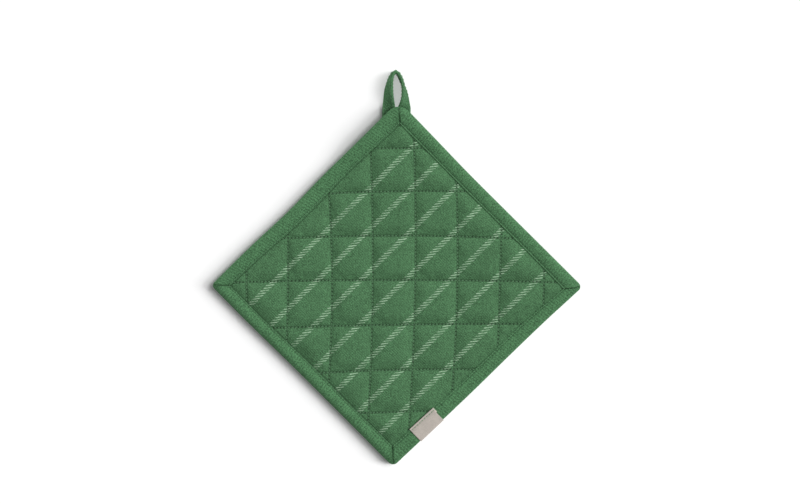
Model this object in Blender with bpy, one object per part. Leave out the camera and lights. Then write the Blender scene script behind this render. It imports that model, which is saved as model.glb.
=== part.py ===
"""A quilted cotton pot holder, lying face up on a table.

Metres, +Z up. The hanging loop points to +Y, and +X is to the right of the face. The square stands on
one corner, so its four sides run at 45 degrees while its quilting runs level and upright. Every shape
is worked out from the quilt's middle, and each object is then placed by that middle.
"""

import math
from collections import namedtuple

import bmesh
import bpy
from mathutils import Vector

# The quilt's middle, seen from the middle of the whole thing with its loop
QUILT_MIDDLE = (-0.0003, -0.0145, 0.0)

# The square's corners before they are rounded, clockwise from the loop's corner
Corner = namedtuple("Corner", "x y radius")
CORNERS = (
    Corner(0.0021, 0.1566, 0.0118),
    Corner(0.1588, -0.0018, 0.0045),
    Corner(-0.0028, -0.1552, 0.0050),
    Corner(-0.1579, -0.0006, 0.0040),
)

# The sides, each from its corner to the next one clockwise. The binding's width is given at the start,
# the quarters and the end, and how far the sewing draws the side in at each fifth of its length.
Side = namedtuple("Side", "widths drawn_in")
SIDES = (
    Side((0.0135, 0.0132, 0.0130, 0.0129, 0.0134), (0.0, 0.0005, 0.0010, 0.0007, 0.0003, 0.0)),
    Side((0.0101, 0.0121, 0.0121, 0.0124, 0.0117), (0.0, 0.0007, 0.0004, -0.0002, 0.0, 0.0)),
    Side((0.0115, 0.0117, 0.0120, 0.0115, 0.0117), (0.0, 0.0003, 0.0004, 0.0003, -0.0002, 0.0)),
    Side((0.0120, 0.0131, 0.0142, 0.0136, 0.0149), (0.0, 0.0, 0.0011, 0.0001, 0.0003, 0.0)),
)
LABEL_SIDE = 1

# The quilting seams bow a little. An upright seam is given by its x at y = -SEAM_REACH, 0 and
# +SEAM_REACH, and a level seam by its y at the same three places along x.
SEAM_REACH = 0.080
SEAM_PITCH = 0.0365
Seam = namedtuple("Seam", "low middle high")
UPRIGHT_SEAMS = (
    Seam(-0.1285, -0.1276, -0.1285),
    Seam(-0.0950, -0.0923, -0.0935),
    Seam(-0.0573, -0.0547, -0.0575),
    Seam(-0.0222, -0.0201, -0.0207),
    Seam(0.0133, 0.0161, 0.0161),
    Seam(0.0484, 0.0519, 0.0514),
    Seam(0.0855, 0.0882, 0.0905),
    Seam(0.1240, 0.1257, 0.1265),
)
LEVEL_SEAMS = (
    Seam(-0.1112, -0.1083, -0.1059),
    Seam(-0.0763, -0.0725, -0.0725),
    Seam(-0.0360, -0.0341, -0.0334),
    Seam(0.0033, 0.0040, 0.0033),
    Seam(0.0401, 0.0418, 0.0402),
    Seam(0.0765, 0.0796, 0.0788),
    Seam(0.1150, 0.1162, 0.1158),
)

# The quilt: heights over the table at a seam, at a puff's crown and where it enters the binding
SEAM_TOP = 0.0044
SEAM_UNDERSIDE = 0.0015
PUFF_RISE = 0.0029
PUFF_SAG = 0.0024
PUFF_UNEVENNESS = 0.08
BORDER_TOP = 0.0031
BORDER_REACH = 0.011
TRIM_INSET = 0.0026
SWELL_ROUNDNESS = 2.4
SWELL_STEEPNESS = 0.62
GRID_SHARES = (0.0, 0.10, 0.34, 0.66, 0.90)
SLIVER = 0.0009

# The quilt's thin edge, from just inside the binding's inner edge outwards: rings by their share of the
# way across the binding, 0 at the outer edge and 1 at the inner one, with the height of both faces
Ring = namedtuple("Ring", "across top underside")
EDGE_RINGS = (
    Ring(1.04, BORDER_TOP, 0.00155),
    Ring(0.93, 0.0029, 0.00155),
    Ring(0.50, 0.0037, 0.00155),
    Ring(0.22, 0.0031, 0.0021),
)

# The binding's section: its outer face from the inner edge on top, over the crown and the outer edge
# to the inner edge below, and then its inner face back again. The dip is the topstitched channel.
Point = namedtuple("Point", "across height")
FOLD_OUTER = (
    Point(1.00, 0.0045),
    Point(0.94, 0.0049),
    Point(0.83, 0.0046),
    Point(0.66, 0.0054),
    Point(0.42, 0.0057),
    Point(0.20, 0.0051),
    Point(0.06, 0.0040),
    Point(0.00, 0.0027),
    Point(0.06, 0.0010),
    Point(0.20, 0.0),
    Point(1.00, 0.0),
)
FOLD_INNER = (
    Point(1.00, 0.0012),
    Point(0.24, 0.0012),
    Point(0.115, 0.0027),
    Point(0.24, 0.0040),
    Point(0.44, 0.0045),
    Point(0.83, 0.0034),
    Point(1.00, 0.0034),
)
MITRE_DEPTH = 0.0006
MITRE_HALF_WIDTH = 0.0010
MITRE_FROM_HEIGHT = 0.0020
STATION_PITCH = 0.017
FINE_STATION_PITCH = 0.0055
CLIMB_STEP = 0.0001

# The hanging loop: a folded strip that lies flat where it is sewn on and stands on its edge at its
# top. A row is a point of its middle line with its thickness there, which is least where it is sewn,
# and tilt turns its outer face from sideways to upwards.
STRIP_WIDTH = 0.0110
STRIP_EDGE = 0.0007
SEWN_THICKNESS = 0.0020
FREE_THICKNESS = 0.0026
FLAT_TILT = 90
STEPS_PER_ROW = 4
Row = namedtuple("Row", "x y tilt thickness")
LOOP_ROWS = (
    Row(-0.0068, 0.1375, FLAT_TILT, SEWN_THICKNESS),
    Row(-0.0069, 0.1450, FLAT_TILT, SEWN_THICKNESS),
    Row(-0.0068, 0.1502, FLAT_TILT, SEWN_THICKNESS),
    Row(-0.0067, 0.1540, 72, 0.0024),
    Row(-0.0067, 0.1580, 43, FREE_THICKNESS),
    Row(-0.0065, 0.1665, 26, FREE_THICKNESS),
    Row(-0.0051, 0.1750, 8, FREE_THICKNESS),
    Row(-0.0035, 0.1785, 7, FREE_THICKNESS),
    Row(-0.0006, 0.1803, 6, FREE_THICKNESS),
    Row(0.0025, 0.1781, -3, FREE_THICKNESS),
    Row(0.0047, 0.1738, -8, FREE_THICKNESS),
    Row(0.0065, 0.1680, -5, FREE_THICKNESS),
    Row(0.0074, 0.1627, 11, FREE_THICKNESS),
    Row(0.0074, 0.1570, 28, FREE_THICKNESS),
    Row(0.0071, 0.1538, 66, 0.0024),
    Row(0.0069, 0.1508, FLAT_TILT, SEWN_THICKNESS),
    Row(0.0068, 0.1450, FLAT_TILT, SEWN_THICKNESS),
    Row(0.0068, 0.1375, FLAT_TILT, SEWN_THICKNESS),
)

# The label, folded over the binding of one side, from its far corner
LABEL_START = 0.0307
LABEL_LENGTH = 0.0267
LABEL_THICKNESS = 0.0010
LABEL_STATIONS = 6

# What lies under the edge lifts it: the loop's legs at the top corner, and the label's lower half
CLEARANCE = 0.0003
LOOP_LIFT = SEWN_THICKNESS + CLEARANCE
LOOP_LIFT_FULL_Y = 0.1290
LOOP_LIFT_NONE_Y = 0.0990
LABEL_LIFT = LABEL_THICKNESS + CLEARANCE
LABEL_LIFT_FADE = 0.018
LABEL_LIFT_MARGIN = 0.002
LABEL_LIFT_INWARDS = 0.016

# Colours of the cloths: red, green, blue and roughness
QUILT_FINISH = (0.078, 0.178, 0.086, 0.9)
BINDING_FINISH = (0.084, 0.195, 0.097, 0.9)
LOOP_FINISH = (0.070, 0.165, 0.084, 0.9)
LABEL_FINISH = (0.44, 0.40, 0.36, 0.8)
SHARP_ANGLE = math.radians(50)


def smooth_step(low, high, value):
    """0 below low, 1 above high and an even S between them."""
    share = min(max((value - low) / (high - low), 0.0), 1.0)
    return share * share * (3 - 2 * share)


def spline(values, share):
    """Smooth curve through evenly spaced values, read at a share of its length."""
    place = min(max(share, 0.0), 1.0) * (len(values) - 1)
    step = min(int(place), len(values) - 2)
    rest = place - step
    before = values[max(step - 1, 0)]
    start, end = values[step], values[step + 1]
    after = values[min(step + 2, len(values) - 1)]
    slope_in = (end - before) / 2
    slope_out = (after - start) / 2
    bend = 3 * (end - start) - 2 * slope_in - slope_out
    twist = 2 * (start - end) + slope_in + slope_out
    return start + rest * (slope_in + rest * (bend + rest * twist))


def side_frame(side):
    """A side's start, its direction, its inward direction and its length between sharp corners."""
    corner = CORNERS[side]
    following = CORNERS[(side + 1) % 4]
    start = Vector((corner.x, corner.y))
    run = Vector((following.x, following.y)) - start
    along = run.normalized()
    inwards = Vector((along.y, -along.x))
    return start, along, inwards, run.length


def outer_point(side, share):
    """Point of the outline at a share of the side, counted from the middle of one rounded corner."""
    start, along, inwards, length = side_frame(side)
    first = CORNERS[side].radius
    last = CORNERS[(side + 1) % 4].radius
    straight = length - first - last
    eighth = math.pi / 4
    travelled = share * (eighth * first + straight + eighth * last)
    if travelled < eighth * first:
        angle = eighth - travelled / first
        along_side = first - first * math.sin(angle)
        inset = first - first * math.cos(angle)
    elif travelled > eighth * first + straight:
        angle = (travelled - eighth * first - straight) / last
        along_side = length - last + last * math.sin(angle)
        inset = last - last * math.cos(angle)
    else:
        along_side = travelled - eighth * first + first
        inset = 0.0
    inset += spline(SIDES[side].drawn_in, along_side / length)
    return start + along * along_side + inwards * inset


def inner_point(side, share):
    """Point of the binding's inner edge at a share of the side, between two mitres."""
    start, along, inwards, length = side_frame(side)
    first = SIDES[side - 1].widths[-1]
    last = length - SIDES[(side + 1) % 4].widths[0]
    along_side = first + share * (last - first)
    inset = spline(SIDES[side].widths, share) + spline(SIDES[side].drawn_in, along_side / length)
    return start + along * along_side + inwards * inset


def across_binding(side, share, across):
    """Point of the binding in plan, from its outer edge at across 0 to its inner edge at 1."""
    return outer_point(side, share).lerp(inner_point(side, share), across)


def inner_share(side, point):
    """Share of the side at which a point stands beside the binding's inner edge."""
    start, along, _, length = side_frame(side)
    first = SIDES[side - 1].widths[-1]
    last = length - SIDES[(side + 1) % 4].widths[0]
    return min(max(((point - start).dot(along) - first) / (last - first), 0.0), 1.0)


def border_distance(side, point):
    """How far inside a side's binding a point of the quilt lies."""
    start, along, inwards, length = side_frame(side)
    offset = point - start
    drawn_in = spline(SIDES[side].drawn_in, offset.dot(along) / length)
    width = spline(SIDES[side].widths, inner_share(side, point))
    return offset.dot(inwards) - drawn_in - width


def lift(point):
    """How far the edge is raised by the loop's legs and by the label that lie under it."""
    by_loop = LOOP_LIFT * smooth_step(LOOP_LIFT_NONE_Y, LOOP_LIFT_FULL_Y, point.y)
    start, along, inwards, length = side_frame(LABEL_SIDE)
    offset = point - start
    middle = length - LABEL_START - LABEL_LENGTH / 2
    beside = abs(offset.dot(along) - middle) - LABEL_LENGTH / 2 - LABEL_LIFT_MARGIN
    inside = offset.dot(inwards) - SIDES[LABEL_SIDE].widths[2]
    by_label = LABEL_LIFT * smooth_step(LABEL_LIFT_FADE, 0.0, beside)
    return by_loop + by_label * smooth_step(LABEL_LIFT_INWARDS, 0.0, inside)


def seam_place(seam, along):
    """Where a seam lies at a distance along it: a parabola through its three given places."""
    share = along / SEAM_REACH
    slope = (seam.high - seam.low) / 2
    bow = (seam.high + seam.low) / 2 - seam.middle
    return seam.middle + share * slope + share * share * bow


def with_margins(seams):
    """The seams with one more line outside each end, where the quilt meets its binding."""
    before = Seam(*(value - SEAM_PITCH for value in seams[0]))
    after = Seam(*(value + SEAM_PITCH for value in seams[-1]))
    return (before, *seams, after)


def grid_place(seams, count, along):
    """Place of a grid line, where whole counts are seams and parts of one lie between them."""
    step = min(int(count), len(seams) - 2)
    here = seam_place(seams[step], along)
    there = seam_place(seams[step + 1], along)
    return here + (count - step) * (there - here)


def swell(distance, reach):
    """Rise of a puff, from 0 at its seam to 1 at its crown: steep first and then round."""
    share = min(max(distance / reach, 0.0), 1.0)
    return (1 - (1 - share) ** SWELL_ROUNDNESS) ** SWELL_STEEPNESS


def puff(point, border):
    """How full the quilt is at a point: 0 in a seam, about 1 in the middle of a puff."""
    upright = [point.x - seam_place(seam, point.y) for seam in UPRIGHT_SEAMS]
    level = [point.y - seam_place(seam, point.x) for seam in LEVEL_SEAMS]
    column = sum(distance > 0 for distance in upright)
    row = sum(distance > 0 for distance in level)
    uneven = 1 + PUFF_UNEVENNESS * math.sin(2.1 * column + 1.3 * row * row)
    fullness = swell(min(map(abs, upright)), SEAM_PITCH / 2) * swell(min(map(abs, level)), SEAM_PITCH / 2)
    return uneven * fullness * swell(border, BORDER_REACH)


def quilt_heights(point):
    """Heights of the quilt's face and underside at a point inside the binding."""
    border = min(border_distance(side, point) for side in range(4))
    full = puff(point, border)
    seam_top = BORDER_TOP + (SEAM_TOP - BORDER_TOP) * smooth_step(0.0, BORDER_REACH, border)
    return seam_top + PUFF_RISE * full, max(SEAM_UNDERSIDE - PUFF_SAG * full, 0.0)


def add_quilt_grid(bm):
    """Flat grid of the quilt, with its lines on the seams, past the sides all round."""
    upright = with_margins(UPRIGHT_SEAMS)
    level = with_margins(LEVEL_SEAMS)
    columns = [step + share for step in range(len(upright) - 1) for share in GRID_SHARES]
    rows = [step + share for step in range(len(level) - 1) for share in GRID_SHARES]
    lines = []
    for column in columns:
        line = []
        for row in rows:
            x = grid_place(upright, column, 0.0)
            y = grid_place(level, row, x)
            x = grid_place(upright, column, y)
            line.append(bm.verts.new((x, grid_place(level, row, x), 0.0)))
        lines.append(line)
    for left, right in zip(lines, lines[1:]):
        for below in range(len(rows) - 1):
            bm.faces.new((left[below], right[below], right[below + 1], left[below + 1]))


def trim_to_binding(bm):
    """Cut the grid off just inside the four inner edges of the binding."""
    for side in range(4):
        inwards = side_frame(side)[2]
        first, last = inner_point(side, 0.0), inner_point(side, 1.0)
        cut = (first + last) / 2 + inwards * TRIM_INSET
        bmesh.ops.bisect_plane(
            bm,
            geom=bm.verts[:] + bm.edges[:] + bm.faces[:],
            dist=1e-6,
            plane_co=(cut.x, cut.y, 0.0),
            plane_no=(-inwards.x, -inwards.y, 0.0),
            clear_outer=True,
        )
    bmesh.ops.remove_doubles(bm, verts=bm.verts[:], dist=SLIVER)


def rim_of(bm):
    """The trimmed sheet's edge points, each with the side and share of the binding it stands at."""
    rim = {}
    for vert in bm.verts:
        if vert.is_boundary:
            side = min(range(4), key=lambda each: abs(border_distance(each, vert.co.xy)))
            rim[vert] = (side, inner_share(side, vert.co.xy))
    for side in range(4):
        corner = inner_point(side, 0.0)
        nearest = min(rim, key=lambda vert: (vert.co.xy - corner).length)
        rim[nearest] = (side, 0.0)
    return rim


def add_edge_rings(bm, rim, heights):
    """Carry the sheet on from its rim to its outer edge inside the binding, ring by ring."""
    order = sorted(rim, key=rim.get)
    inner = order
    for ring in EDGE_RINGS:
        outer = []
        for vert in order:
            point = across_binding(*rim[vert], ring.across)
            outer.append(bm.verts.new((point.x, point.y, 0.0)))
            heights[outer[-1]] = (ring.top, ring.underside)
        for place in range(len(order)):
            following = (place + 1) % len(order)
            bm.faces.new((inner[place], inner[following], outer[following], outer[place]))
        inner = outer


def pad_mesh():
    """The quilt: one sheet for its face, a copy for its underside, and a wall between their edges."""
    bm = bmesh.new()
    add_quilt_grid(bm)
    trim_to_binding(bm)
    rim = rim_of(bm)
    heights = {vert: quilt_heights(vert.co.xy) for vert in bm.verts}
    add_edge_rings(bm, rim, heights)
    everything = bm.verts[:] + bm.edges[:] + bm.faces[:]
    underside_of = bmesh.ops.duplicate(bm, geom=everything)["vert_map"]
    for vert, (top, underside) in heights.items():
        raised = lift(vert.co.xy)
        underside_of[vert].co.z = underside + raised
        vert.co.z = top + raised
    bmesh.ops.bridge_loops(bm, edges=[edge for edge in bm.edges if edge.is_boundary])
    return bm


def loft(bm, sections, closed):
    """Skin sections of equal count, closed on themselves, and cap the ends of an open row of them."""
    rings = [[bm.verts.new(point) for point in section] for section in sections]
    pairs = list(zip(rings, rings[1:]))
    if closed:
        pairs.append((rings[-1], rings[0]))
    else:
        bm.faces.new(rings[0])
        bm.faces.new(reversed(rings[-1]))
    count = len(rings[0])
    for ring, following in pairs:
        for place in range(count):
            beside = (place + 1) % count
            bm.faces.new((ring[place], following[place], following[beside], ring[beside]))


def binding_stations():
    """Sides and shares of the binding's sections: close at the mitres and where the edge climbs."""
    stations = []
    for side in range(4):
        first = CORNERS[side].radius * math.pi / 4
        last = CORNERS[(side + 1) % 4].radius * math.pi / 4
        straight = side_frame(side)[3] - CORNERS[side].radius - CORNERS[(side + 1) % 4].radius
        total = first + straight + last
        places = [0.0, MITRE_HALF_WIDTH, first / 2]
        travelled = first
        while travelled < total - last - FINE_STATION_PITCH:
            places.append(travelled)
            here = lift(outer_point(side, travelled / total))
            ahead = lift(outer_point(side, (travelled + STATION_PITCH) / total))
            climbing = abs(ahead - here) > CLIMB_STEP
            travelled += FINE_STATION_PITCH if climbing else STATION_PITCH
        places += [total - last, total - last / 2, total - MITRE_HALF_WIDTH]
        stations += [(side, place / total) for place in places]
    return stations


def binding_mesh():
    """The binding: its folded section carried round the four sides, with a crease at each mitre."""
    sections = []
    for side, share in binding_stations():
        section = []
        for fold in FOLD_OUTER + FOLD_INNER:
            point = across_binding(side, share, fold.across)
            creased = share == 0.0 and fold in FOLD_OUTER and fold.height > MITRE_FROM_HEIGHT
            height = fold.height + lift(point) - (MITRE_DEPTH if creased else 0.0)
            section.append((point.x, point.y, height))
        sections.append(section)
    bm = bmesh.new()
    loft(bm, sections, closed=True)
    return bm


def strip_section(middle, ahead, tilt, thickness):
    """Section of the strip at a point of its middle line, turned by its tilt, resting on the table."""
    forwards = Vector((ahead.x, ahead.y, 0.0)).normalized()
    sideways = Vector((-forwards.y, forwards.x, 0.0))
    outwards = sideways * math.cos(tilt) + Vector((0.0, 0.0, math.sin(tilt)))
    across = forwards.cross(outwards)
    half_width = STRIP_WIDTH / 2
    shoulder = half_width - STRIP_EDGE
    half = thickness / 2
    outline = (
        (half_width, 0.0),
        (shoulder, half),
        (-shoulder, half),
        (-half_width, 0.0),
        (-shoulder, -half),
        (shoulder, -half),
    )
    section = [middle.to_3d() + across * wide + outwards * thick for wide, thick in outline]
    lowest = min(point.z for point in section)
    return [(point.x, point.y, point.z - lowest) for point in section]


def loop_mesh():
    """The hanging loop: a flat strip that turns onto its edge at the top, its lower edge on the table."""
    xs, ys, tilts, thicknesses = zip(*LOOP_ROWS)
    steps = STEPS_PER_ROW * (len(LOOP_ROWS) - 1)
    middles = [Vector((spline(xs, step / steps), spline(ys, step / steps))) for step in range(steps + 1)]
    sections = []
    for step, middle in enumerate(middles):
        ahead = middles[min(step + 1, steps)] - middles[max(step - 1, 0)]
        tilt = math.radians(min(spline(tilts, step / steps), FLAT_TILT))
        sections.append(strip_section(middle, ahead, tilt, spline(thicknesses, step / steps)))
    bm = bmesh.new()
    loft(bm, sections, closed=False)
    return bm


def offset_path(path, distance):
    """A path of across and height points, moved outwards by a distance square to itself."""
    moved = []
    for place, point in enumerate(path):
        before = path[max(place - 1, 0)]
        after = path[min(place + 1, len(path) - 1)]
        first = (point - before).normalized() if place else (after - point).normalized()
        last = (after - point).normalized() if place < len(path) - 1 else first
        square = Vector((first.y + last.y, -first.x - last.x)).normalized()
        moved.append(point + square * distance / square.dot(Vector((first.y, -first.x))))
    return moved


def label_mesh():
    """The label: a tape folded over the binding, from the topstitching on its face to that below."""
    _, _, inwards, length = side_frame(LABEL_SIDE)
    far_end = length - LABEL_START
    wrapped = FOLD_OUTER[1:-1] + (Point(FOLD_OUTER[1].across, FOLD_OUTER[-1].height),)
    sections = []
    for station in range(LABEL_STATIONS + 1):
        share = (far_end - LABEL_LENGTH * station / LABEL_STATIONS) / length
        edge = outer_point(LABEL_SIDE, share)
        width = (inner_point(LABEL_SIDE, share) - edge).length
        path = [Vector((fold.across * width, fold.height)) for fold in wrapped]
        inside = offset_path(path, CLEARANCE)
        outside = offset_path(path, LABEL_LIFT)
        section = []
        for across, height in outside + inside[::-1]:
            point = edge + inwards * across
            section.append((point.x, point.y, height + LABEL_LIFT))
        sections.append(section)
    bm = bmesh.new()
    loft(bm, sections, closed=False)
    return bm


def add_piece(name, bm, finish, holder):
    """Make an object of a closed mesh in its own cloth, placed by the holder."""
    bmesh.ops.recalc_face_normals(bm, faces=bm.faces[:])
    mesh = bpy.data.meshes.new(name)
    bm.to_mesh(mesh)
    bm.free()
    mesh.shade_smooth()
    mesh.set_sharp_from_angle(angle=SHARP_ANGLE)
    material = bpy.data.materials.new(name)
    material.use_nodes = True
    shader = material.node_tree.nodes["Principled BSDF"]
    red, green, blue, roughness = finish
    shader.inputs["Base Color"].default_value = (red, green, blue, 1.0)
    shader.inputs["Roughness"].default_value = roughness
    shader.inputs["Metallic"].default_value = 0.0
    mesh.materials.append(material)
    piece = bpy.data.objects.new(name, mesh)
    piece.parent = holder
    bpy.context.collection.objects.link(piece)


def main():
    """Clear the scene and make the four sewn pieces round the quilt's middle."""
    for item in list(bpy.data.objects):
        bpy.data.objects.remove(item, do_unlink=True)
    holder = bpy.data.objects.new("quilt_middle", None)
    holder.location = QUILT_MIDDLE
    bpy.context.collection.objects.link(holder)
    add_piece("pad", pad_mesh(), QUILT_FINISH, holder)
    add_piece("binding", binding_mesh(), BINDING_FINISH, holder)
    add_piece("loop", loop_mesh(), LOOP_FINISH, holder)
    add_piece("label", label_mesh(), LABEL_FINISH, holder)


main()
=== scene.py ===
"""The looks of a quilted cotton pot holder that lies face up on a white table.

Metres, +Z up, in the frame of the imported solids. The hanging loop points to +Y. The forms are worked
out from the quilt's middle, from the solids' own tables with a few widths and turns fitted more
closely: the quilt is filled by a cloth simulation with its seams held down, the binding, the loop and
the label are folded sheets, and every stitch is a short piece of thread.
"""

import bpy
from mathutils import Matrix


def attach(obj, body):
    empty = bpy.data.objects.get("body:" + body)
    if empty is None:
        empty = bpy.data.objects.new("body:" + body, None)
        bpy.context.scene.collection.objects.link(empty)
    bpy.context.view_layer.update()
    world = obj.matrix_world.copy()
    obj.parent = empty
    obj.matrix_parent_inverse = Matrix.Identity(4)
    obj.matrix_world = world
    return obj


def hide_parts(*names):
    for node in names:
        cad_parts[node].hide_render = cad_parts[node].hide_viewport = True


bl_info = {
    "name": "Quilted Pot Holder",
    "version": (1, 0, 0),
    "blender": (4, 5, 0),
    "location": "View3D > Sidebar > Pot Holder",
    "description": "Sews a striped, quilted pot holder with its binding, hanging loop and label",
    "category": "Object",
}

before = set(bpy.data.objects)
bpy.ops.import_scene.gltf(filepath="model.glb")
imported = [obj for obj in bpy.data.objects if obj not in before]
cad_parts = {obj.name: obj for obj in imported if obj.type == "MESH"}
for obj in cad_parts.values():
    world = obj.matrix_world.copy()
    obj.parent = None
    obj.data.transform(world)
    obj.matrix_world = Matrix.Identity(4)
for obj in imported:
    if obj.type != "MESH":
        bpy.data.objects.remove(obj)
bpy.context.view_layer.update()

import math
from collections import namedtuple

import bmesh
import bpy
import numpy as np
from bpy.props import FloatProperty, FloatVectorProperty, IntProperty, PointerProperty
from mathutils import Vector
from mathutils.bvhtree import BVHTree

# ------------------------------------------------------------------ tables, after those of the solids

# The quilt's middle, seen from the middle of the whole thing with its loop
QUILT_MIDDLE = np.array((-0.0003, -0.0145))

# The square's corners before they are rounded, clockwise from the loop's corner. At a mitre one side's
# binding is folded over the next one's: first_over says that it is the side before the corner.
Corner = namedtuple("Corner", "x y radius first_over")
CORNERS = (
    Corner(0.0021, 0.1566, 0.0118, True),
    Corner(0.1588, -0.0018, 0.0045, True),
    Corner(-0.0028, -0.1552, 0.0050, False),
    Corner(-0.1579, -0.0006, 0.0040, True),
)

# The sides, each from its corner to the next one clockwise: the binding's width at the start, the
# quarters and the end, how far the sewing draws the side in at each fifth of its length, the direction
# in which the ribs of its twill run, counted from +X, and how much shade is painted along its inner
# edge
Side = namedtuple("Side", "widths drawn_in ribs lip_shade")
SIDES = (
    Side(
        widths=(0.0133, 0.0126, 0.0123, 0.0123, 0.0130),
        drawn_in=(0.0, 0.0005, 0.0010, 0.0007, 0.0003, 0.0),
        ribs=52,
        lip_shade=0.0,
    ),
    Side(
        widths=(0.0101, 0.0121, 0.0121, 0.0124, 0.0133),
        drawn_in=(0.0, 0.0007, 0.0004, -0.0002, 0.0, 0.0),
        ribs=-38,
        lip_shade=0.0,
    ),
    Side(
        widths=(0.0121, 0.0112, 0.0117, 0.0111, 0.0115),
        drawn_in=(0.0, 0.0003, 0.0004, 0.0003, -0.0002, 0.0),
        ribs=49,
        lip_shade=0.50,
    ),
    Side(
        widths=(0.0114, 0.0126, 0.0137, 0.0131, 0.0146),
        drawn_in=(0.0, 0.0, 0.0011, 0.0001, 0.0003, 0.0),
        ribs=-31,
        lip_shade=0.22,
    ),
)
LABEL_SIDE = 1

# The quilting seams bow a little. An upright seam is given by its x at y = -SEAM_REACH, 0 and
# +SEAM_REACH, and a level seam by its y at the same three places along x.
SEAM_REACH = 0.080
SEAM_PITCH = 0.0365
Seam = namedtuple("Seam", "low middle high")
UPRIGHT_SEAMS = (
    Seam(-0.1285, -0.1276, -0.1285),
    Seam(-0.0950, -0.0923, -0.0935),
    Seam(-0.0573, -0.0547, -0.0575),
    Seam(-0.0222, -0.0201, -0.0207),
    Seam(0.0133, 0.0161, 0.0161),
    Seam(0.0484, 0.0519, 0.0514),
    Seam(0.0855, 0.0882, 0.0905),
    Seam(0.1240, 0.1257, 0.1265),
)
LEVEL_SEAMS = (
    Seam(-0.1112, -0.1083, -0.1059),
    Seam(-0.0763, -0.0725, -0.0725),
    Seam(-0.0360, -0.0341, -0.0334),
    Seam(0.0033, 0.0040, 0.0033),
    Seam(0.0401, 0.0418, 0.0402),
    Seam(0.0765, 0.0796, 0.0788),
    Seam(0.1150, 0.1162, 0.1158),
)

# The quilt's heights over the table at a seam and where it enters the binding
SEAM_TOP = 0.0044
SEAM_UNDERSIDE = 0.0015
BORDER_TOP = 0.0036
BORDER_REACH = 0.011
SWELL_ROUNDNESS = 2.4
SWELL_STEEPNESS = 0.62

# The quilt's thin edge inside the binding, by its share of the way across the binding, 0 at the outer
# edge and 1 at the inner one, with the height of both faces
Edge = namedtuple("Edge", "across top underside")
EDGES = (
    Edge(0.22, 0.0031, 0.0021),
    Edge(0.50, 0.0037, 0.00155),
    Edge(0.93, 0.0029, 0.00155),
    Edge(1.04, BORDER_TOP, 0.00155),
)

# The binding's section: its outer face from the inner edge on top, over the crown and the outer edge
# to the inner edge below, and then its inner face back again
Point = namedtuple("Point", "across height")
FOLD_OUTER = (
    Point(1.00, 0.0041),
    Point(0.97, 0.0044),
    Point(0.93, 0.0045),
    Point(0.90, 0.0045),
    Point(0.87, 0.0045),
    Point(0.84, 0.0046),
    Point(0.79, 0.0049),
    Point(0.66, 0.0054),
    Point(0.40, 0.0058),
    Point(0.20, 0.0051),
    Point(0.06, 0.0040),
    Point(0.00, 0.0027),
    Point(0.06, 0.0010),
    Point(0.20, 0.0),
    Point(1.00, 0.0),
)
FOLD_INNER = (
    Point(1.00, 0.0012),
    Point(0.24, 0.0012),
    Point(0.115, 0.0027),
    Point(0.24, 0.0040),
    Point(0.44, 0.0045),
    Point(0.83, 0.0033),
    Point(1.00, 0.0033),
)

# The hanging loop: a row is a point of its middle line with its thickness there, and tilt turns its
# outer face from sideways to upwards
STRIP_WIDTH = 0.0110
SEWN_THICKNESS = 0.0020
FREE_THICKNESS = 0.0026
FLAT_TILT = 90
Row = namedtuple("Row", "x y tilt thickness")
LOOP_ROWS = (
    Row(-0.0067, 0.1375, FLAT_TILT, SEWN_THICKNESS),
    Row(-0.0066, 0.1450, FLAT_TILT, SEWN_THICKNESS),
    Row(-0.0064, 0.1498, 84, 0.0021),
    Row(-0.0063, 0.1543, 62, 0.0024),
    Row(-0.0064, 0.1592, 46, FREE_THICKNESS),
    Row(-0.0064, 0.1640, 38, FREE_THICKNESS),
    Row(-0.0060, 0.1687, 28, FREE_THICKNESS),
    Row(-0.0052, 0.1733, 17, FREE_THICKNESS),
    Row(-0.0038, 0.1778, 9, FREE_THICKNESS),
    Row(-0.0016, 0.1809, 5, FREE_THICKNESS),
    Row(0.0011, 0.1801, 0, FREE_THICKNESS),
    Row(0.0035, 0.1763, -4, FREE_THICKNESS),
    Row(0.0053, 0.1716, -1, FREE_THICKNESS),
    Row(0.0065, 0.1671, 8, FREE_THICKNESS),
    Row(0.0072, 0.1626, 18, FREE_THICKNESS),
    Row(0.0074, 0.1581, 30, FREE_THICKNESS),
    Row(0.0071, 0.1538, 51, 0.0024),
    Row(0.0068, 0.1498, 84, 0.0021),
    Row(0.0068, 0.1450, FLAT_TILT, SEWN_THICKNESS),
    Row(0.0068, 0.1375, FLAT_TILT, SEWN_THICKNESS),
)

# The label's place, counted back from the far corner of its side
LABEL_START = 0.0316
LABEL_LENGTH = 0.0267
LABEL_THICKNESS = 0.0010

# What lies under the edge lifts it: the loop's legs at the top corner, and the label's lower half
CLEARANCE = 0.0003
LOOP_LIFT = SEWN_THICKNESS + CLEARANCE
LOOP_LIFT_FULL_Y = 0.1290
LOOP_LIFT_NONE_Y = 0.0990
LABEL_LIFT = LABEL_THICKNESS + CLEARANCE
LABEL_LIFT_FADE = 0.018
LABEL_LIFT_MARGIN = 0.002
LABEL_LIFT_INWARDS = 0.016

# ------------------------------------------------------------------ what only the looks need

# Stitches go from hole to hole, a dozen to a quilted cell
STITCHES_PER_CELL = 12
STITCH_PITCH = SEAM_PITCH / STITCHES_PER_CELL
TOPSTITCH_ACROSS = 0.925
GROOVE_ACROSS = 0.885

# Where the pale stripes cross the face, measured square to them from the quilt's middle
STRIPE_ANGLE = math.radians(44.25)
STRIPE_PLACES = (-0.0745, -0.0497, -0.0241, 0.0024, 0.0291, 0.0550, 0.0807)
STRIPE_HALF_WIDTH = 0.0021
STROKE_ANGLE = math.radians(7.5)
STROKE_PITCH = 0.0020
GROUND_PITCH = 0.00168
RIB_PITCH = 0.0024
LOOP_RIB_PITCH = 0.0019
LOOP_SHADE = 0.97


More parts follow.
